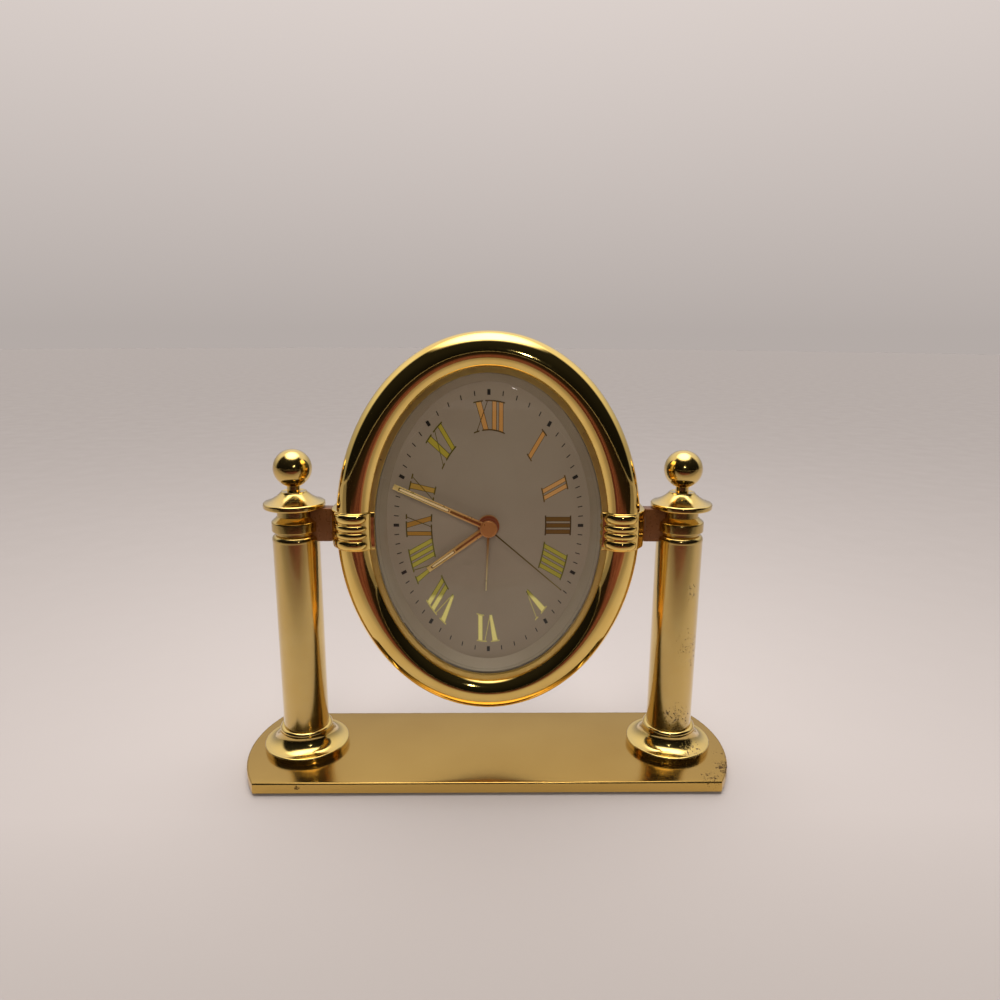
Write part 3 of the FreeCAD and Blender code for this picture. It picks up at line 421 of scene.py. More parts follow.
# Painted reflections on the foil: tones of each row at the left and at the right; then those of the strokes'
# edges, darker as painted shade
FOIL_PAINTED_REFLECTIONS = (((0.48, 0.37, 0.035), (0.66, 0.31, 0.08)), ((0.54, 0.31, 0.055), (0.70, 0.35, 0.11)),
              ((0.44, 0.21, 0.03), (0.17, 0.08, 0.012)), ((0.50, 0.42, 0.06), (0.44, 0.37, 0.045)),
              ((0.98, 0.86, 0.28), (0.98, 0.86, 0.30)))
EDGE_PAINTED_SHADE_AND_REFLECTIONS = (((0.10, 0.08, 0.006), (0.10, 0.05, 0.010)), ((0.12, 0.08, 0.010), (0.14, 0.07, 0.015)),
              ((0.09, 0.06, 0.008), (0.06, 0.03, 0.006)), ((0.16, 0.14, 0.02), (0.14, 0.12, 0.02)),
              ((0.66, 0.56, 0.16), (0.66, 0.56, 0.18)))
# Where the left painted tones turn into the right ones
PAINTED_REFLECTION_TURN = (-9, -2)


def foil(name, painted_tones):
    """Hot-stamped gold foil with painted reflections: its tone changes from left to right and from row to
    row.
    """
    shader = Shader(name, painted_tones[0][1], 0.35, 0.15)
    place = shader.split(shader.place)
    across = shader.spread(place["X"], *(x * MM for x in PAINTED_REFLECTION_TURN))
    rows = [shader.mix(across, left, right) for left, right in painted_tones]
    colour = rows[-1]
    for row, heights in zip(rows[-2::-1], PAINTED_REFLECTION_ROWS[::-1]):
        colour = shader.mix(shader.spread(place["Z"], *((AXIS_Z + z) * MM for z in heights)), colour, row)
    shader.set("Base Color", colour)
    shader.bump(shader.noise(70, 0), 0.0003, 1.0)
    shader.set("Roughness", shader.clouds(900, 2, 0.32, 0.42))
    return shader.material


# Depth of the hands' middle, the distances from it at which the painted shade of the hub and the paler tip
# tone begin, and how far these waver
HANDS_Y = -8
HAND_PAINTED_LIGHT_AT = (6, 32)
HAND_WAVER = 4


def hand_brass(name="hand_brass", hub=(0.66, 0.30, 0.09), tip=(0.92, 0.66, 0.24), metallic=0.5):
    """Lacquered brass of a hand with painted light: redder and darker at the hub as painted shade, paler at
    the tip.
    """
    shader = Shader(name, tip, 0.28, metallic)
    waver = shader.maths("MULTIPLY", shader.noise(90, 1), HAND_WAVER * MM)
    along = shader.maths("ADD", shader.distance((0, HANDS_Y * MM, AXIS_Z * MM)), waver)
    shader.set("Base Color", shader.mix(shader.spread(along, *(at * MM for at in HAND_PAINTED_LIGHT_AT)), hub, tip))
    shader.set("Roughness", shader.clouds(300, 2, 0.27, 0.31))
    return shader.material


def dial_silver(name, light, deep):
    """Silver-white dial paint with a fine grain."""
    shader = Shader(name, light, 0.5, 0.15)
    grain = shader.noise(2600, 5)
    shader.set("Base Color", shader.mix(shader.clouds(60, 3), light, deep))
    shader.set("Roughness", shader.spread(grain, *NOISE_SPAN, 0.42, 0.58))
    shader.bump(grain, 0.000006, 0.3)
    return shader.material


def print_black():
    shader = Shader("print_black", (0.012, 0.009, 0.008), 0.45)
    shader.set("Roughness", shader.clouds(3000, 3, 0.38, 0.55))
    return shader.material


def moulded(name, colour, roughness, grain=1500, relief=0.00002):
    """Moulded plastic with a spark-eroded texture."""
    shader = Shader(name, colour, roughness)
    texture = shader.noise(grain, 4)
    lighter = tuple(min(1.0, part * 1.25 + 0.004) for part in colour)
    shader.set("Base Color", shader.mix(shader.clouds(70, 3), colour, lighter))
    shader.set("Roughness", shader.spread(texture, *NOISE_SPAN, roughness * 0.85, roughness * 1.15))
    shader.bump(texture, relief, 0.5)
    return shader.material


def plain_metal(name, colour, roughness):
    shader = Shader(name, colour, roughness, 1.0)
    texture = shader.noise(900, 5)
    shader.set("Roughness", shader.spread(texture, *NOISE_SPAN, roughness * 0.75, roughness * 1.3))
    shader.bump(texture, 0.000008, 0.3)
    return shader.material


def felt():
    shader = Shader("felt", (0.018, 0.017, 0.016), 0.95)
    fibres = shader.noise(2500, 6)
    shader.set("Base Color", shader.mix(fibres, (0.012, 0.011, 0.010), (0.045, 0.042, 0.038)))
    shader.set("Sheen Weight", 0.4)
    shader.bump(fibres, 0.0003, 0.8)
    return shader.material


def clear_glass():
    """Lens glass: clear straight through, with a mirror film on its front at a slant."""
    material = bpy.data.materials.new("lens_glass")
    material.use_nodes = True
    nodes = Nodes(material.node_tree)
    nodes.tree.nodes.remove(nodes.tree.nodes["Principled BSDF"])
    clear = nodes.node("ShaderNodeBsdfTransparent", Color=(0.97, 0.98, 0.975, 1))
    mirror = nodes.node("ShaderNodeBsdfGlossy", Roughness=0.0)
    fresnel = nodes.node("ShaderNodeFresnel", IOR=1.49)
    front = nodes.maths("SUBTRACT", 1.0, nodes.node("ShaderNodeNewGeometry").outputs["Backfacing"])
    share = nodes.maths("MULTIPLY", fresnel.outputs["Fac"], front)
    nodes.blend(share, clear.outputs["BSDF"], mirror.outputs["BSDF"], "Material Output")
    return material


# Worn spots: their middle, reach and amount
RIGHT_COLUMN_PITS = ((67.0, -7.2, 19.0, 11.0, 0.30), (71.0, -5.5, 45.0, 15.0, 0.26),
                     (69.5, -7.2, 66.0, 7.0, 0.27))
RIGHT_FOOT_PITS = ((72.0, -10.0, 8.0, 9.0, 0.30), (64.0, -13.5, 7.0, 6.0, 0.27))
BASE_PITS = ((83.5, -17.0, 5.0, 9.0, 0.40), (76.0, -23.0, 5.2, 8.0, 0.33), (84.5, -8.0, 4.8, 8.0, 0.28),
             (-64.0, -25.2, 3.2, 2.2, 0.34))

brass = polished_brass("polished_brass")
brass_lip = polished_brass("satin_brass_lip", gloss=0.42)
# Copies with depth below 1 are the same brass darkened as painted shade
brass_turned = polished_brass("polished_brass_turned", gloss=0.15, depth=0.82, lacquer=0.5)
brass_worn_foot = polished_brass("polished_brass_worn_foot", RIGHT_FOOT_PITS, 0.15, 0.82, 0.5)
brass_column = polished_brass("polished_brass_column", gloss=0.20, depth=0.80, lacquer=1.0)
brass_worn_column = polished_brass("polished_brass_worn_column", RIGHT_COLUMN_PITS, 0.20, 0.80, 1.0)
brass_capital = polished_brass("polished_brass_capital", gloss=0.20, depth=0.70, lacquer=0.5)
brass_base = satin_brass()
bronze = bronzed_brass()
numeral_foil = foil("numeral_foil", FOIL_PAINTED_REFLECTIONS)
numeral_edge = foil("numeral_edge", EDGE_PAINTED_SHADE_AND_REFLECTIONS)
hand_metal = hand_brass()
hand_olive = hand_brass("hand_brass_olive", (0.10, 0.06, 0.012), (0.24, 0.17, 0.05))
# Dark red slot wells and grooves: painted shade in the hands' recesses
hand_groove_painted_shade = hand_brass("hand_brass_groove_painted_shade", (0.22, 0.055, 0.012), (0.17, 0.10, 0.02), 0.2)
hand_copper = hand_brass("hand_brass_hub", (0.56, 0.22, 0.065), (0.60, 0.26, 0.08))
hand_dusk = hand_brass("hand_brass_alarm", (0.33, 0.13, 0.03), (1.0, 0.9, 0.5))
# Dark wine hub discs: painted shade about the hands' hubs
hand_disc_painted_shade = hand_brass("hand_brass_disc_painted_shade", (0.36, 0.095, 0.035), (0.38, 0.11, 0.04))
dial_finish = dial_silver("dial_silver", (0.35, 0.275, 0.20), (0.325, 0.25, 0.18))
# A lighter copy of the dial's paint: painted light on the sloping ring
dial_ring_painted_light = dial_silver("dial_silver_ring", (0.40, 0.325, 0.235), (0.37, 0.29, 0.205))
ink = print_black()
cream = moulded("hand_cream", (0.72, 0.52, 0.27), 0.6, 2500, 0.00001)
dark_nylon = moulded("dark_nylon", (0.12, 0.065, 0.03), 0.4)
base_felt = felt()
glass = clear_glass()

# Finish of each material slot, for the solids that are carried over
FINISHES = {"polished_brass": brass, "bronzed_brass": bronze, "hand_brass": hand_metal, "hand_cream": cream,
            "dial_white": dial_finish, "base_felt": base_felt, "clear_glass": glass}
for name, colour, roughness in (("black_plastic", (0.018, 0.018, 0.019), 0.5),
                                ("red_plastic", (0.45, 0.02, 0.015), 0.35),
                                ("white_plastic", (0.75, 0.73, 0.66), 0.45),
                                ("nylon", (0.72, 0.70, 0.62), 0.4), ("board_green", (0.02, 0.14, 0.06), 0.3)):
    FINISHES[name] = moulded(name, colour, roughness)
for name, colour, roughness in (("plain_steel", (0.55, 0.55, 0.54), 0.3),
                                ("copper_wire", (0.72, 0.30, 0.14), 0.3),
                                ("battery_foil", (0.42, 0.36, 0.12), 0.28)):
    FINISHES[name] = plain_metal(name, colour, roughness)


# Stand

SIDES = (("left", -1), ("right", 1))
PLATE_EDGE_ROUND = 0.75
PLATE_EDGE_STEPS = 6
PLATE_END_STEPS = 36
PLATE_FOOT_BREAK = 0.35
PAD_FOOT_BREAK = 0.25


def plate_ring(inset, z):
    """Outline of the base at a height, drawn in by inset, with its corners softened."""
    half_depth = PLATE_DEPTH / 2 - inset
    radius = PLATE_END_RADIUS - inset
    half_width = PLATE_HALF_WIDTH - inset
    corner = half_width - (radius - math.sqrt(radius**2 - half_depth**2))
    front, back = PLATE_CENTRE_Y - half_depth, PLATE_CENTRE_Y + half_depth
    points = [(-corner, front), (corner, front)]
    points += bend((corner, front), (half_width, PLATE_CENTRE_Y), (corner, back), PLATE_END_STEPS)
    points += [(-corner, back)]
    points += bend((-corner, back), (-half_width, PLATE_CENTRE_Y), (-corner, front), PLATE_END_STEPS)[:-1]
    return [(x, y, z) for x, y in points]


def build_base():
    solid = bmesh.new()
    rings = [plate_ring(PLATE_FOOT_BREAK, PAD_TOP), plate_ring(0.0, PAD_TOP + PLATE_FOOT_BREAK)]
    for u, v in arc_points(PLATE_EDGE_ROUND, 0, math.pi / 2, PLATE_EDGE_STEPS):
        rings.append(plate_ring(PLATE_EDGE_ROUND - u, PLATE_TOP - PLATE_EDGE_ROUND + v))
    add_rings(solid, rings, "capped")
    make_piece("base_plate_finish", solid, brass_base, "stand", ["base_plate"])

    solid = bmesh.new()
    rings = [plate_ring(PAD_INSET + PAD_FOOT_BREAK, 0.0), plate_ring(PAD_INSET, PAD_FOOT_BREAK),
             plate_ring(PAD_INSET, PAD_TOP)]
    add_rings(solid, rings, "capped")
    make_piece("base_pad_finish", solid, base_felt, "stand", ["base_pad"])


# Turned profiles, from the bottom up, as steps of radius and height
FOOT = path((0, PLATE_TOP), (14.9, PLATE_TOP, 0.1), (14.9, 6.75, 0.1), ((14.75, 7.1), (14.35, 7.25)),
            ((11.2, 8.3), (9.2, 12.1)), ((9.15, 12.9), (8.45, 13.5)), (8.0, 13.55), (0, 13.55))
TUBE = path((0, COLUMN_BOTTOM), (COLUMN_RADIUS, COLUMN_BOTTOM, 0.15), (COLUMN_RADIUS, COLUMN_TOP),
            (0, COLUMN_TOP))
CAPITAL = path((0, COLUMN_TOP), (COLUMN_RADIUS, COLUMN_TOP), ((7.75, 83.9), (6.9, 84.6)), (6.6, 84.7, 0.05),
               (6.6, 85.6, 0.1), (7.45, 85.75, 0.1), ((7.85, 85.95), (COLUMN_RADIUS, 86.3)),
               (COLUMN_RADIUS, 88.8), ((7.8, 89.2), (7.4, 89.5)), (6.3, 90.6), (6.0, 91.0, 0.2),
               (6.0, CAPITAL_TOP), (0, CAPITAL_TOP))
CAP = path((0, CAPITAL_TOP), (9.7, CAPITAL_TOP), ((10.2, 94.05), (10.36, 94.5)), (10.36, 95.1),
           ((10.2, 95.6), (9.7, 95.9)), ((6.3, 97.5), (4.35, 99.2)), ((4.2, 99.4), (3.9, CAP_TOP)),
           (2.9, 99.2, 0.2), (0, 99.2))
NECK_TOP = BALL_HEIGHT - math.sqrt(BALL_RADIUS**2 - NECK_RADIUS**2)
NECK_BOTTOM = 99.1
BALL_STEPS = 40
BALL = path((0, NECK_BOTTOM), (NECK_RADIUS, NECK_BOTTOM), (NECK_RADIUS, NECK_TOP))
BALL += bend((NECK_RADIUS, NECK_TOP), (BALL_RADIUS, BALL_HEIGHT), (0, BALL_HEIGHT + BALL_RADIUS), BALL_STEPS)


def build_columns():
    metals = {"left": (brass_turned, brass_column), "right": (brass_worn_foot, brass_worn_column)}
    for side, sign in SIDES:
        foot_metal, column_metal = metals[side]
        parts = (("foot", FOOT, "foot_flange", foot_metal), ("column", TUBE, "column_tube", column_metal),
                 ("capital_spool", CAPITAL, "capital", brass_capital), ("cap", CAP, "cap_disc", brass_turned))
        for name, outline, node, material in parts:
            solid = bmesh.new()
            add_turned(solid, outline, (sign * COLUMN_X, 0, 0), segments=TURNED_SEGMENTS)
            make_piece(f"{side}_{name}", solid, material, "stand", [f"{side}_{node}"])
    for side, sign in SIDES:
        solid = bmesh.new()
        add_turned(solid, BALL, (sign * COLUMN_X, 0, 0), segments=BALL_SEGMENTS)
        make_piece(f"{side}_ball", solid, brass_turned, "stand", ["ball_finials"])


# Inner and outer end, front and back, bottom and top
HANGER = (53.2, 60.3, -2.4, 2.4, 82.3, 93.8)
HANGER_EDGE = 0.25
# Inner and outer face, radius, bore
TILT_WASHER = (52.75, 53.15, 4.0, 1.7)


def build_hangers():
    inner, outer, front, back, low, high = HANGER
    near, far, radius, bore = TILT_WASHER
    outline = [(bore, near), (radius, near), (radius, far), (bore, far)]
    for side, sign in SIDES:
        solid = bmesh.new()
        xs = sorted((sign * inner, sign * outer))
        add_box(solid, (xs[0], front, low), (xs[1], back, high), HANGER_EDGE)
        make_piece(f"{side}_hanger", solid, bronze, "stand", [f"{side}_hanger_bar"])
        solid = bmesh.new()
        add_turned(solid, outline, (0, 0, 0), segments=WASHER_SEGMENTS)
        turned = Matrix.Translation((0, 0, AXIS_Z)) @ Matrix.Rotation(sign * math.pi / 2, 4, "Y")
        bmesh.ops.transform(solid, matrix=turned, verts=solid.verts)
        make_piece(f"{side}_tilt_washer", solid, dark_nylon, "stand", ["tilt_washers"])


# Head shell

def tube_point(degrees, radius=TUBE_RADIUS):
    """Point on the tube's section: 0 is the front, 90 straight inwards, -90 straight outwards."""
    turn = math.radians(degrees)
    return (TUBE_RADIUS + radius * math.sin(turn), TUBE_Y - radius * math.cos(turn))


def build_bezel():
    rear_turn = -180 + math.degrees(math.asin((TUBE_RADIUS - WALL_OUTER_INSET) / TUBE_RADIUS))
    outline = [tube_point(degrees) for degrees in evenly(TUBE_END, rear_turn, TUBE_STEPS)]
    outline += path((WALL_OUTER_INSET, BEZEL_BACK_Y, WALL_ROUND),
                    (WALL_INNER_INSET, BEZEL_BACK_Y, WALL_ROUND), (WALL_INNER_INSET, DIAL_BACK_Y),
                    (POCKET_INSET, DIAL_BACK_Y), (POCKET_INSET, POCKET_END_Y))
    solid = bmesh.new()
    add_rings(solid, swept_oval(outline))
    make_piece("bezel", solid, brass, "head", ["bezel_ring"])

    tube_end = tube_point(TUBE_END)[0]
    land = path((POCKET_INSET, LIP_BACK_Y), (POCKET_INSET, LAND_Y), (tube_end, LAND_Y),
                (OPENING_INSET, LAND_Y, LIP_ROUND), (OPENING_INSET, LIP_BACK_Y))
    solid = bmesh.new()
    add_rings(solid, swept_oval(land))
    make_piece("bezel_lip", solid, brass_lip, "head", ["bezel_ring"])


COLLAR_HALF = 6.35
COLLAR_SKIN = 0.5
COLLAR_FLANK = 2.3
COLLAR_BACK_Y = 3.8
COLLAR_BACK_BREAK = 0.3
COLLAR_ROUND = 0.45
COLLAR_ROUND_STEPS = 5
COLLAR_STRAIGHT = 4.5
COLLAR_CROWN_END = -66
COLLAR_CROWN_STEPS = 36
COLLAR_SHOULDER = (0.55, -7.4)
COLLAR_SHOULDER_STEPS = 14
COLLAR_FLANK_Y = -3.8
COLLAR_CORE_Y = -3.5
RIB_INSET = 6.3
RIB_Y = -8.35
RIB_REACH = 6.35
RIB_STAND_OUT = 0.75
RIB_STEPS = 40
RIB_SIDES = 20
# Where the ribs start and end about the bezel's tube, and over how many degrees their inner end sinks in
RIB_TURNS = (-98, 43)
RIB_TAPER = 26
RIB_TIP = 0.30
RIB_SINK = 0.45
RIB_FLAT = 0.4
# Height of each rib above the axis, and its half-height
RIBS = ((4.4, 1.55), (1.25, 1.1), (-1.25, 1.1), (-4.4, 1.55))


def collar_outline(skin):
    """Section of a collar whose skin stands that far off the bezel."""
    flank = COLLAR_FLANK - COLLAR_SKIN + skin
    front_y = LAND_Y - skin
    radius = TUBE_RADIUS + skin
    inner = math.degrees(math.acos((TUBE_Y - front_y) / radius))
    turns = evenly(inner, COLLAR_CROWN_END, COLLAR_CROWN_STEPS)
    crown = [tube_point(degrees, radius) for degrees in turns]
    front = [(OPENING_INSET, LAND_Y + 0.4), (OPENING_INSET, front_y)]
    shoulder = (COLLAR_SHOULDER[0] - flank, COLLAR_SHOULDER[1])
    side = bend(crown[-1], shoulder, (-flank, COLLAR_FLANK_Y), COLLAR_SHOULDER_STEPS)
    rear = [(-flank, COLLAR_BACK_Y - COLLAR_BACK_BREAK), (COLLAR_BACK_BREAK - flank, COLLAR_BACK_Y),
            (WALL_OUTER_INSET, COLLAR_BACK_Y), (WALL_OUTER_INSET, COLLAR_CORE_Y), (TUBE_RADIUS, TUBE_Y),
            (POCKET_INSET + 1.1, LAND_Y + 0.1)]
    return front + crown + side + rear


def build_collars():
    heights = [(COLLAR_HALF - COLLAR_ROUND + u, COLLAR_SKIN - COLLAR_ROUND + v)
               for u, v in arc_points(COLLAR_ROUND, 0, math.pi / 2, COLLAR_ROUND_STEPS)]
    straight = [(height, COLLAR_SKIN) for height in evenly(-COLLAR_STRAIGHT, COLLAR_STRAIGHT, 6)]
    levels = [(-height, skin) for height, skin in heights] + straight + heights[::-1]
    for side, sign in SIDES:
        solid = bmesh.new()
        rings = []
        for height, skin in levels:
            ring = []
            for inset, y in collar_outline(skin):
                share = math.sqrt(1 - (height / (HALF_HEIGHT - inset))**2)
                ring.append((sign * (HALF_WIDTH - inset) * share, y, AXIS_Z + height))
            rings.append(ring)
        add_rings(solid, rings, "capped")
        make_piece(f"{side}_collar_band", solid, brass, "head", [f"{side}_rib_collar"])

        solid = bmesh.new()
        for height, half in RIBS:
            rings = []
            for degrees in evenly(*RIB_TURNS, RIB_STEPS):
                turn = math.radians(degrees)
                end = min(1.0, (RIB_TURNS[1] - degrees) / RIB_TAPER)
                taper = RIB_TIP + (1 - RIB_TIP) * math.sqrt(max(0.0, 1 - (1 - end)**2))
                stand_out = RIB_STAND_OUT * (RIB_FLAT + (1 - RIB_FLAT) * taper)
                ring = []
                for u, v in arc_points(1.0, 0, math.tau, RIB_SIDES)[:-1]:
                    radius = RIB_REACH - RIB_SINK * (1 - taper) + stand_out * u
                    ring.append((sign * (HALF_WIDTH - RIB_INSET) + radius * math.sin(turn),
                                 RIB_Y - radius * math.cos(turn), AXIS_Z + height + half * taper * v))
                rings.append(ring)
            add_rings(solid, rings, "capped")
        make_piece(f"{side}_collar_ribs", solid, brass, "head", [f"{side}_rib_collar"])


SHOULDER_INSET = 13.05
BEVEL_INSET = 16.4
BEVEL_Y = -12.7
BEVEL_BREAK = 0.05
DOME_RISE = 0.7
DOME_STEPS = 12
LENS_THICK = 1.2
HOLLOW_STEP = 0.4
HOLLOW_SHOULDER_Y = -10.0


def build_lens():
    dome = [(BEVEL_INSET + share * (HALF_WIDTH - BEVEL_INSET), BEVEL_Y - DOME_RISE * (1 - (1 - share)**2))
            for share in evenly(0.0, 1.0, DOME_STEPS + 1)[:-1]]
    outer = [(GLASS_INSET, RING_FRONT_Y), (GLASS_INSET, LIP_BACK_Y), (SHOULDER_INSET, LIP_BACK_Y),
             (SHOULDER_INSET, LAND_Y + BEVEL_BREAK), (BEVEL_INSET - 3 * BEVEL_BREAK, BEVEL_Y + BEVEL_BREAK)]
    outer += dome
    inner = [(inset + HOLLOW_STEP, y + LENS_THICK) for inset, y in dome[::-1]]
    inner += [(SHOULDER_INSET + LENS_THICK, y) for y in (HOLLOW_SHOULDER_Y, RING_FRONT_Y)]
    solid = bmesh.new()
    rows = add_rings(solid, stacked_ovals(outer), "open")
    back_rows = add_rings(solid, stacked_ovals(inner), "open")
    solid.faces.new(rows[-1])
    solid.faces.new(back_rows[0][::-1])
    for k in range(SEGMENTS):
        after = (k + 1) % SEGMENTS
        solid.faces.new([rows[0][k], rows[0][after], back_rows[-1][after], back_rows[-1][k]])
    make_piece("lens_crystal", solid, glass, "head", ["lens"])


RING_TOP_INSET = 13.2
RING_TOP_ROUND = 0.2
RING_DIAL_INSET = 16.0
HUB_HOLE = 3.3


def build_dial():
    outline = path((GLASS_INSET, RING_FRONT_Y), (RING_TOP_INSET, RING_FRONT_Y, RING_TOP_ROUND),
                   (RING_DIAL_INSET, DIAL_Y), (GLASS_INSET, DIAL_Y))
    solid = bmesh.new()
    add_rings(solid, swept_oval(outline))
    make_piece("dial_flange", solid, dial_ring_painted_light, "head", ["dial_ring"])

    solid = bmesh.new()
    circle = arc_points(HUB_HOLE, 0, math.tau, SEGMENTS)[:-1]
    hole = [[(v, y, AXIS_Z + u) for u, v in circle] for y in (DIAL_Y, DIAL_BACK_Y)]
    rim = stacked_ovals([(GLASS_INSET, DIAL_BACK_Y), (GLASS_INSET, DIAL_Y)])
    add_rings(solid, [hole[1], rim[0], rim[1], hole[0]])
    make_piece("dial_face", solid, dial_finish, "head", ["dial_plate"])


TICK_OVAL = (31.1, 44.75)
HOUR_TICK = (1.85, 1.05)
MINUTE_TICK = (1.6, 0.33)
# Thickness of the print; a numeral's layers lie this many thicknesses up, each stroke a little higher
FOIL = 0.02
LIFTS = {"edge": 1.0, "foil": 2.4, "line": 3.8}
STROKE_LIFT = 0.05


def on_oval(oval, degrees):
    """Point of an oval at a clock angle, seen from the centre."""
    turn = math.radians(degrees)
    reach = 1 / math.hypot(math.sin(turn) / oval[0], math.cos(turn) / oval[1])
    return reach * math.sin(turn), reach * math.cos(turn)


def placed(corners, centre, degrees):
    """Corners of (across, outwards) about a centre, turned to a clock angle."""
    turn = math.radians(degrees)
    return [(centre[0] + u * math.cos(turn) + v * math.sin(turn),
             AXIS_Z + centre[1] - u * math.sin(turn) + v * math.cos(turn)) for u, v in corners]


def bar(start, end, width):
    """Straight stroke from one distance outwards to another."""
    return [(-width / 2, start), (-width / 2, end), (width / 2, end), (width / 2, start)]


NUMERALS = ("XII", "I", "II", "III", "IIII", "V", "VI", "VII", "VIII", "IX", "X", "XI")
OUTER_OVAL = (27.95, 42.2)
INNER_OVAL = (19.05, 32.2)
SERIF = 0.46
SERIF_STEPS = 5
HAIRLINE = 0.5
EDGE = 0.12
# A letter's strokes: left and right edge at the outer oval, then at the inner one
STROKES = {"I": [(0.0, 1.35, 0.0, 1.35)],
           "V": [(0.2, 1.95, 2.3, 3.1), (4.55, 4.95, 2.7, 3.1)],
           "X": [(0.3, 2.05, 3.05, 4.6), (4.15, 4.55, 0.45, 0.85)]}
# A letter's serifs: left and right end, and whether they lie on the outer oval
SERIFS = {"I": [(-0.6, 1.95, True), (-0.6, 1.95, False)],
          "V": [(-0.45, 2.6, True), (4.0, 5.5, True)],
          "X": [(-0.4, 2.7, True), (3.5, 5.2, True), (2.5, 5.2, False), (-0.2, 1.6, False)]}
ADVANCE = {"II": 2.2, "IX": 2.25, "IV": 2.25, "VI": 5.6, "XI": 5.8, "XX": 5.8}
LETTER_WIDTH = {"I": 1.35, "V": 5.1, "X": 4.9}


def on_ray(u, degrees, oval, shrink=0.0):
    """Where the line beside the ray at a clock angle, u across from it, meets an oval."""
    turn = math.radians(degrees)
    wide, high = oval[0] - shrink, oval[1] - shrink
    along = Vector((math.sin(turn) / wide, math.cos(turn) / high))
    across = Vector((math.cos(turn) / wide, -math.sin(turn) / high)) * u
    a, b, c = along.length_squared, along.dot(across), across.length_squared - 1
    point = along * ((-b + math.sqrt(b * b - a * c)) / a) + across
    return point.x * wide, AXIS_Z + point.y * high


def numeral_shapes(letters, degrees):
    """Outlines of a Roman numeral between the two ovals, feet to the centre."""
    starts = [0.0]
    for pair in zip(letters, letters[1:]):
        starts.append(starts[-1] + ADVANCE["".join(pair)])
    middle = (starts[-1] + LETTER_WIDTH[letters[-1]]) / 2
    shapes = []
    for start, letter in zip(starts, letters):
        offset = start - middle
        for left, right, inner_left, inner_right in STROKES[letter]:
            hair = right - left < HAIRLINE
            for edge in (EDGE, -EDGE / 2)[hair:]:
                ends = ((left - edge, OUTER_OVAL), (right + edge, OUTER_OVAL),
                        (inner_right + edge, INNER_OVAL), (inner_left - edge, INNER_OVAL))
                corners = [on_ray(offset + u, degrees, oval) for u, oval in ends]
                shapes.append((corners, "line" if hair else "edge" if edge > 0 else "foil"))
        for low, high, outer in SERIFS[letter]:
            oval, shrink = (OUTER_OVAL, SERIF) if outer else (INNER_OVAL, -SERIF)
            steps = evenly(offset + low, offset + high, SERIF_STEPS)
            corners = [on_ray(u, degrees, oval) for u in steps]
            shapes.append((corners + [on_ray(u, degrees, oval, shrink) for u in steps[::-1]], "line"))
    return shapes


def build_dial_print():
    marks = bmesh.new()
    for minute in range(60):
        degrees = 6 * minute
        centre = on_oval(TICK_OVAL, degrees)
        long_side, short_side = HOUR_TICK if minute % 5 == 0 else MINUTE_TICK
        corners = bar(-long_side / 2, long_side / 2, short_side)
        add_prism(marks, placed(corners, centre, degrees), DIAL_Y - FOIL, DIAL_Y + FOIL)
    make_piece("minute_marks", marks, ink, "head")

    foil_mesh, edge_mesh = bmesh.new(), bmesh.new()
    for hour, letters in enumerate(NUMERALS):
        for index, (shape, kind) in enumerate(numeral_shapes(letters, 30 * hour)):
            lift = FOIL * (LIFTS[kind] + STROKE_LIFT * index)
            add_prism(foil_mesh if kind == "foil" else edge_mesh, shape, DIAL_Y - lift, DIAL_Y + FOIL)
    make_piece("hour_numerals", foil_mesh, numeral_foil, "head")
    make_piece("hour_numeral_edges", edge_mesh, numeral_edge, "head")


# Hands: body and metal; clock angle, length, half-width at the hub and at the tip, front and back;
# radius of the hub; start, end and half-width of the slot
HANDS = {"alarm_hand": ("alarm", hand_dusk, (182.1, 22.8, 0.50, 0.20, -5.7, -5.4), 3.6, None),
         "hour_hand": ("hour", hand_metal, (233.8, 25.3, 1.25, 0.95, -6.9, -6.5), 3.0, (14.2, 24.0, 0.45)),
         "minute_hand": ("minute", hand_metal, (294.2, 34.3, 1.00, 0.90, -8.1, -7.7), 2.6,
                         (14.4, 32.5, 0.55)),
         "second_hand": ("seconds", hand_copper, (131.0, 32.5, 0.25, 0.18, -9.3, -9.05), 1.2, None)}
HUB_LIFT = 0.02
HUB_ROUND = 0.08
BLADE_CHAMFER = 0.14
BLADE_CHAMFER_SHARE = 0.4
SECOND_CAP = path((0, -9.88), (0.3, -9.9), (2.45, -9.9, 0.1), (2.8, -9.75, 0.1), (2.95, -9.3, 0.05),
                  (0, -9.3))
# The bottom of a slot lies this far behind the blade's front, the groove before it this far in front; both
# are dark with painted shade
SLOT_DEPTH = 0.15
GROOVE_LIFT = 0.015
GROOVE_ENDS = (0.3, 0.5)
GROOVE_WIDTH = 1.6
# Filling: share of the slot's half-width, distance from the slot's start and end, depth behind the front
FILLING_SHARE = 0.68
FILLING_ENDS = (0.6, 0.8)
FILLING_SINK = 0.05
FILLING_STEPS = 8


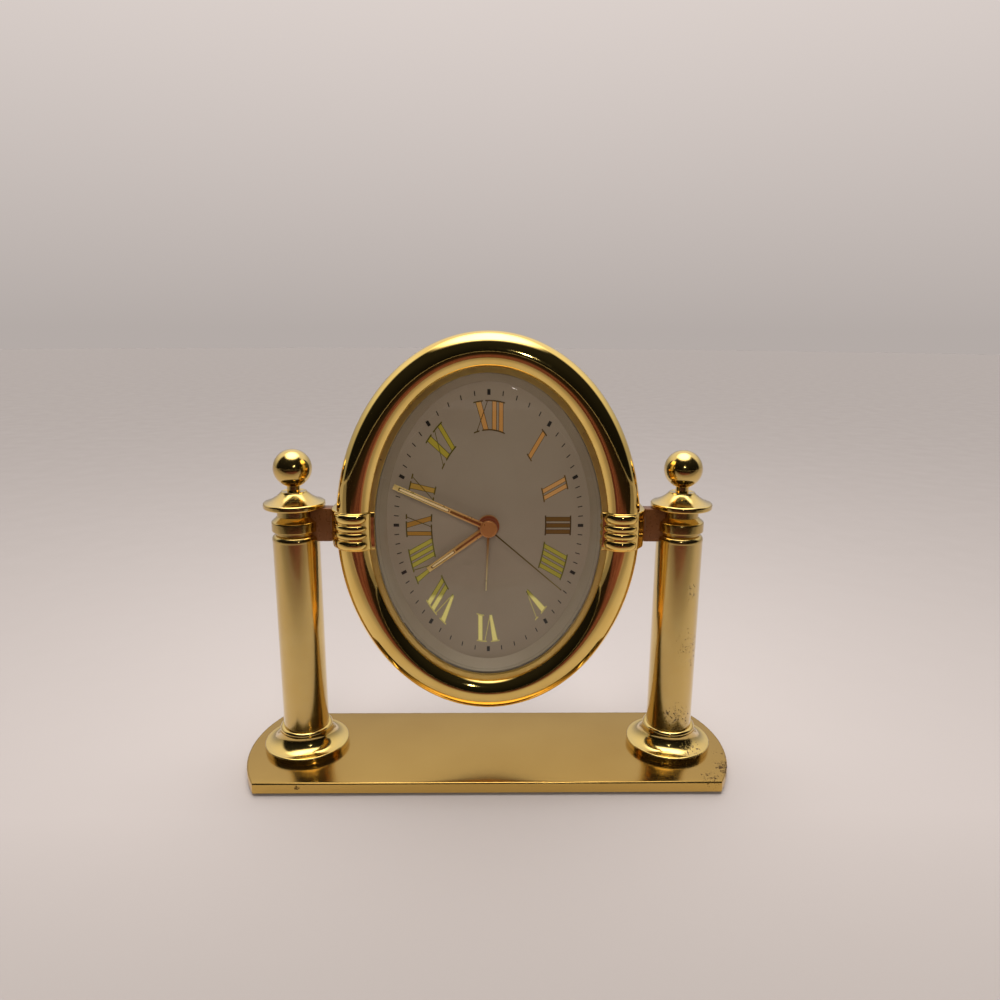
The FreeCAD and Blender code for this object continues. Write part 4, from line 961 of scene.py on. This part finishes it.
def add_blade(solid, hand, slot):
    """Pressed hand: a flat bar with softened edges, open in the middle where the slot is."""
    degrees, length, half_hub, half_tip, front, back = hand
    chamfer = min(BLADE_CHAMFER, half_tip * BLADE_CHAMFER_SHARE)
    pointing = Vector((math.sin(math.radians(degrees)), 0, math.cos(math.radians(degrees))))

    def half(along):
        return half_hub + (half_tip - half_hub) * along / length

    def add_bar(corners):
        before = set(solid.edges)
        add_prism(solid, placed(corners, (0, 0), degrees), front, back)
        long_edges = [edge for edge in solid.edges if edge not in before
                      and all(abs(vert.co.y - front) < TINY for vert in edge.verts)
                      and abs((edge.verts[0].co - edge.verts[1].co).normalized().dot(pointing)) > 0.9]
        bmesh.ops.bevel(solid, geom=long_edges, offset=chamfer, segments=2, profile=0.5, affect="EDGES")

    if not slot:
        add_bar([(-half_hub, 0), (-half_tip, length), (half_tip, length), (half_hub, 0)])
        return
    start, end, gap = slot
    rims = [[(-half(0), 0), (-half(start), start), (half(start), start), (half(0), 0)],
            [(-half(end), end), (-half_tip, length), (half_tip, length), (half(end), end)]]
    for sign in (-1, 1):
        side = [(half(start), start), (half(end), end), (gap, end), (gap, start)]
        rims.append([(sign * u, v) for u, v in side][::sign])
    for corners in rims:
        add_bar(corners)


def build_hands():
    for name, (body, metal, hand, hub_radius, slot) in HANDS.items():
        solid = bmesh.new()
        add_blade(solid, hand, slot)
        degrees, front, back = hand[0], hand[4], hand[5]
        hub_front = front - HUB_LIFT
        hub = path((0, hub_front), (hub_radius, hub_front, HUB_ROUND), (hub_radius, back), (0, back))
        if name == "second_hand":
            add_turned(solid, hub, (0, 0, AXIS_Z), "y")
            make_piece("second_hand_needle", solid, hand_olive, body, [name])
            solid = bmesh.new()
            add_turned(solid, SECOND_CAP, (0, 0, AXIS_Z), "y")
        else:
            # The hub disc is dark: painted shade
            disc = bmesh.new()
            add_turned(disc, hub, (0, 0, AXIS_Z), "y")
            make_piece(f"{name}_hub", disc, hand_disc_painted_shade, body, [name])
        make_piece(f"{name}_blade", solid, metal, body, [name])
        if slot:
            start, end, gap = slot
            # Dark well under the slot and dark strip along the groove: painted shade
            groove = bmesh.new()
            add_prism(groove, placed(bar(start, end, 2 * gap), (0, 0), degrees), front + SLOT_DEPTH, back)
            root = bar(hub_radius + GROOVE_ENDS[0], start - GROOVE_ENDS[1], GROOVE_WIDTH * gap)
            add_prism(groove, placed(root, (0, 0), degrees), front - GROOVE_LIFT, back)
            make_piece(f"{name}_groove", groove, hand_groove_painted_shade, body, [name])
            ends = arc_points(FILLING_SHARE * gap, 0, math.pi, FILLING_STEPS)
            corners = [(u, end - FILLING_ENDS[1] + v) for u, v in ends]
            corners += [(-u, start + FILLING_ENDS[0] - v) for u, v in ends]
            filling = bmesh.new()
            add_prism(filling, placed(corners, (0, 0), degrees), front + FILLING_SINK, back)
            make_piece(f"{name}_filling", filling, cream, body, [f"{name}_lume"])


# Carried-over solids

def finish_hidden_nodes():
    """Give each carried-over solid the finish of its material slot."""
    for entry in frame["record"]["subparts"]:
        node = frame["nodes"][entry["node"]]
        for index in range(len(node.material_slots)):
            node.material_slots[index].material = FINISHES[entry["material_slot"]]


# Stage, light and camera, in metres

FLOOR_RADIUS = 6.0
FLOOR_SEGMENTS = 96
# The floor's tone is painted light: a lighter pool about its middle fading outwards, and painted shade along
# its front
FLOOR_LIGHT_POOL_MIDDLE = (0, 0.08, 0)
FLOOR_PAINTED_LIGHT = (0.60, 0.55, 0.535)
FLOOR_FAR = (0.352, 0.317, 0.303)
FLOOR_FRONT_PAINTED_SHADE = (0.35, 0.318, 0.303)
FLOOR_FRONT_SHADE_SPAN = (-0.15, -0.035)
FLOOR_LIGHT_POOL_FADE = 3.0
# Table in front of the floor, seen in reflections alone, dark with painted shade: near and far edge,
# half-width and height
CARD = (-0.105, -3.0, 3.0, 0.0006)
WOOD_TONES = ((0.03, 0.008, 0.010), (0.19, 0.075, 0.078))
WOOD_GRAIN = (0.6, 9.0, 1.0)
PAPER_EDGE_PAINTED_SHADOW = (0.03, 0.012, 0.006)
PAPER_EDGE_SHADOW_SPAN = (-0.212, -0.196)
WOOD_DEPTH = (-0.50, -0.30)
WOOD_HALF_WIDTH = (0.15, 0.25)
TABLE_PAINTED_SHADE = (0.012, 0.008, 0.006)
PAPER_PAINTED_SHADE_SPAN = (-0.19, -0.105)
PAPER_PAINTED_SHADE_SHARE = 0.45
TABLE_EDGE_SPAN = (-0.196, -0.19)
TABLE_EDGE_SLANT = 0.35


def build_floor():
    disc = bmesh.new()
    bmesh.ops.create_circle(disc, cap_ends=True, radius=FLOOR_RADIUS, segments=FLOOR_SEGMENTS)
    mesh = bpy.data.meshes.new("floor")
    disc.to_mesh(mesh)
    disc.free()
    shader = Shader("floor_paint", (0.56, 0.50, 0.48), 0.6)
    shader.set("Specular IOR Level", 0.2)
    # Painted pool of light about the middle, and painted shade in front
    painted_light_pool = shader.maths("EXPONENT", shader.maths("MULTIPLY", shader.distance(FLOOR_LIGHT_POOL_MIDDLE), -FLOOR_LIGHT_POOL_FADE))
    paper = shader.mix(painted_light_pool, FLOOR_FAR, FLOOR_PAINTED_LIGHT)
    behind = shader.spread(shader.split(shader.place)["Y"], *FLOOR_FRONT_SHADE_SPAN)
    shader.set("Base Color", shader.mix(behind, FLOOR_FRONT_PAINTED_SHADE, paper))
    shader.set("Roughness", shader.clouds(40, 4, 0.55, 0.7))
    mesh.materials.append(shader.material)
    floor = in_scene("floor", mesh)


def build_table():
    near, far, half, z = CARD
    mesh = bpy.data.meshes.new("table_card")
    corners = [(-half, far, z), (half, far, z), (half, near, z), (-half, near, z)]
    mesh.from_pydata(corners, [], [(0, 1, 2, 3)])
    table = Shader("table_card", (0.05, 0.035, 0.03), 0.9)
    table.set("Specular IOR Level", 0.0)
    place = table.split(table.place)
    depth = place["Y"]
    aside = table.maths("ABSOLUTE", place["X"])
    planks = table.node("ShaderNodeMapping", Vector=table.place, Scale=WOOD_GRAIN).outputs["Vector"]
    wood = table.mix(table.spread(table.noise(9, 3, planks), 0.40, 0.60), *WOOD_TONES)
    # Dark line on the wood at the paper's edge: painted shadow
    wood = table.mix(table.spread(depth, *PAPER_EDGE_SHADOW_SPAN), wood, PAPER_EDGE_PAINTED_SHADOW)
    # The wood shows in a patch in front; beyond it the table turns to painted shade
    shade = table.maths("MINIMUM", table.spread(depth, *WOOD_DEPTH, smooth=True),
                        table.spread(aside, *WOOD_HALF_WIDTH, 1.0, 0.0))
    table.set("Base Color", table.mix(shade, TABLE_PAINTED_SHADE, wood))
    clear = table.node("ShaderNodeBsdfTransparent")
    # Partly opaque dark film over the paper's front: painted shade
    paper_painted_shade = table.spread(depth, *PAPER_PAINTED_SHADE_SPAN, PAPER_PAINTED_SHADE_SHARE, 0.0)
    slanted = table.maths("ADD", depth, table.maths("MULTIPLY", aside, TABLE_EDGE_SLANT))
    solid = table.maths("MAXIMUM", paper_painted_shade, table.spread(slanted, *TABLE_EDGE_SPAN, 1.0, 0.0))
    table.blend(solid, clear.outputs["BSDF"], table.surface.outputs["BSDF"], "Material Output")
    mesh.materials.append(table.material)
    card = in_scene("table_card", mesh)
    card.visible_camera = False
    card.visible_shadow = False
    card.visible_diffuse = False


ROOM_COLOUR = (1.0, 0.96, 0.93, 1)
SHOWN_COLOUR = (1.0, 0.895, 0.845, 1)
# Brightness from the horizon up, as heights of the direction and strengths there
ROOM_RISE = (0.0, 0.75, 0.38, 1.05)
ROOM_ZENITH = (0.80, 0.97, 0.0, 3.4)
SHOWN_RISE = (0.0, 0.40, 0.455, 0.735)
# Dark front: where it begins ahead, its narrowing sideways, where it ends overhead, its darkness
FRONT_SPAN = (-0.24, -0.04)
FRONT_NARROWING = 0.10
FRONT_TOP = (0.82, 0.95)
FRONT_DARKNESS = 0.982


def build_world():
    """Pale room for the camera; for light and reflections bright above and beside, dark in front."""
    world = bpy.data.worlds.new("studio")
    bpy.context.scene.world = world
    world.use_nodes = True
    nodes = Nodes(world.node_tree)
    room = world.node_tree.nodes["Background"]
    place = nodes.split(nodes.node("ShaderNodeTexCoord").outputs["Generated"])
    height = place["Z"]
    ahead = nodes.maths("MULTIPLY", place["Y"], -1.0)
    aside = nodes.maths("MULTIPLY", nodes.maths("ABSOLUTE", place["X"]), FRONT_NARROWING)
    front = nodes.spread(nodes.maths("SUBTRACT", ahead, aside), *FRONT_SPAN, smooth=True)
    dark = nodes.maths("MULTIPLY", front, nodes.spread(height, *FRONT_TOP, 1.0, 0.0, smooth=True))
    bright = nodes.maths("ADD", nodes.spread(height, *ROOM_RISE, smooth=True),
                         nodes.spread(height, *ROOM_ZENITH, smooth=True))
    left_over = nodes.maths("SUBTRACT", 1.0, nodes.maths("MULTIPLY", dark, FRONT_DARKNESS))
    nodes.feed(nodes.maths("MULTIPLY", bright, left_over), room.inputs["Strength"])
    nodes.feed(ROOM_COLOUR, room.inputs["Color"])
    shown = nodes.node("ShaderNodeBackground", Color=SHOWN_COLOUR, Strength=nodes.spread(height, *SHOWN_RISE))
    seen = nodes.node("ShaderNodeLightPath").outputs["Is Camera Ray"]
    nodes.blend(seen, room.outputs["Background"], shown.outputs["Background"], "World Output")


# Area lights: place, width, power, colour, and whether reflections show them
CLOCK_MIDDLE = Vector((0, 0, 0.09))
LIGHTS = {"front_fill": ((0.0, -0.75, 0.40), 0.5, 2.5, (1, 0.93, 0.85), False),
          "small_glint": ((0.045, -0.24, 0.20), 0.012, 0.02, (1, 0.98, 0.95), True)}


def build_lights():
    for name, (place, size, power, colour, shown) in LIGHTS.items():
        light = bpy.data.lights.new(name, "AREA")
        light.shape = "DISK"
        light.size = size
        light.energy = power
        light.color = colour
        lamp = in_scene(name, light)
        lamp.location = place
        lamp.visible_glossy = shown
        lamp.rotation_euler = (CLOCK_MIDDLE - Vector(place)).to_track_quat("-Z", "Y").to_euler()


# Camera of the photograph; the image is taken as 1000 pixels wide
CAMERA_AT = (-0.00027, -0.24967, 0.15319)
CAMERA_PITCH = math.radians(12.83)
CAMERA_YAW = math.radians(-0.95)
CAMERA_ROLL = math.radians(0.32)
FOCAL_PIXELS = 751
IMAGE_PIXELS = 1000
SENSOR_WIDTH = 36.0
CLIP_START = 0.01


def build_camera():
    data = bpy.data.cameras.new("photo_view")
    data.sensor_fit = "HORIZONTAL"
    data.sensor_width = SENSOR_WIDTH
    data.lens = SENSOR_WIDTH * FOCAL_PIXELS / IMAGE_PIXELS
    data.clip_start = CLIP_START
    camera = in_scene("photo_view", data)
    turn = Matrix.Rotation(CAMERA_YAW, 4, "Z") @ Matrix.Rotation(math.pi / 2 - CAMERA_PITCH, 4, "X")
    camera.matrix_world = Matrix.Translation(CAMERA_AT) @ turn @ Matrix.Rotation(CAMERA_ROLL, 4, "Z")
    bpy.context.scene.camera = camera


def main():
    finish_hidden_nodes()
    build_base()
    build_columns()
    build_hangers()
    build_bezel()
    build_collars()
    build_lens()
    build_dial()
    build_dial_print()
    build_hands()
    build_floor()
    build_table()
    build_world()
    build_lights()
    build_camera()
    bpy.context.scene.view_settings.view_transform = "Standard"
    bpy.context.view_layer.update()


main()
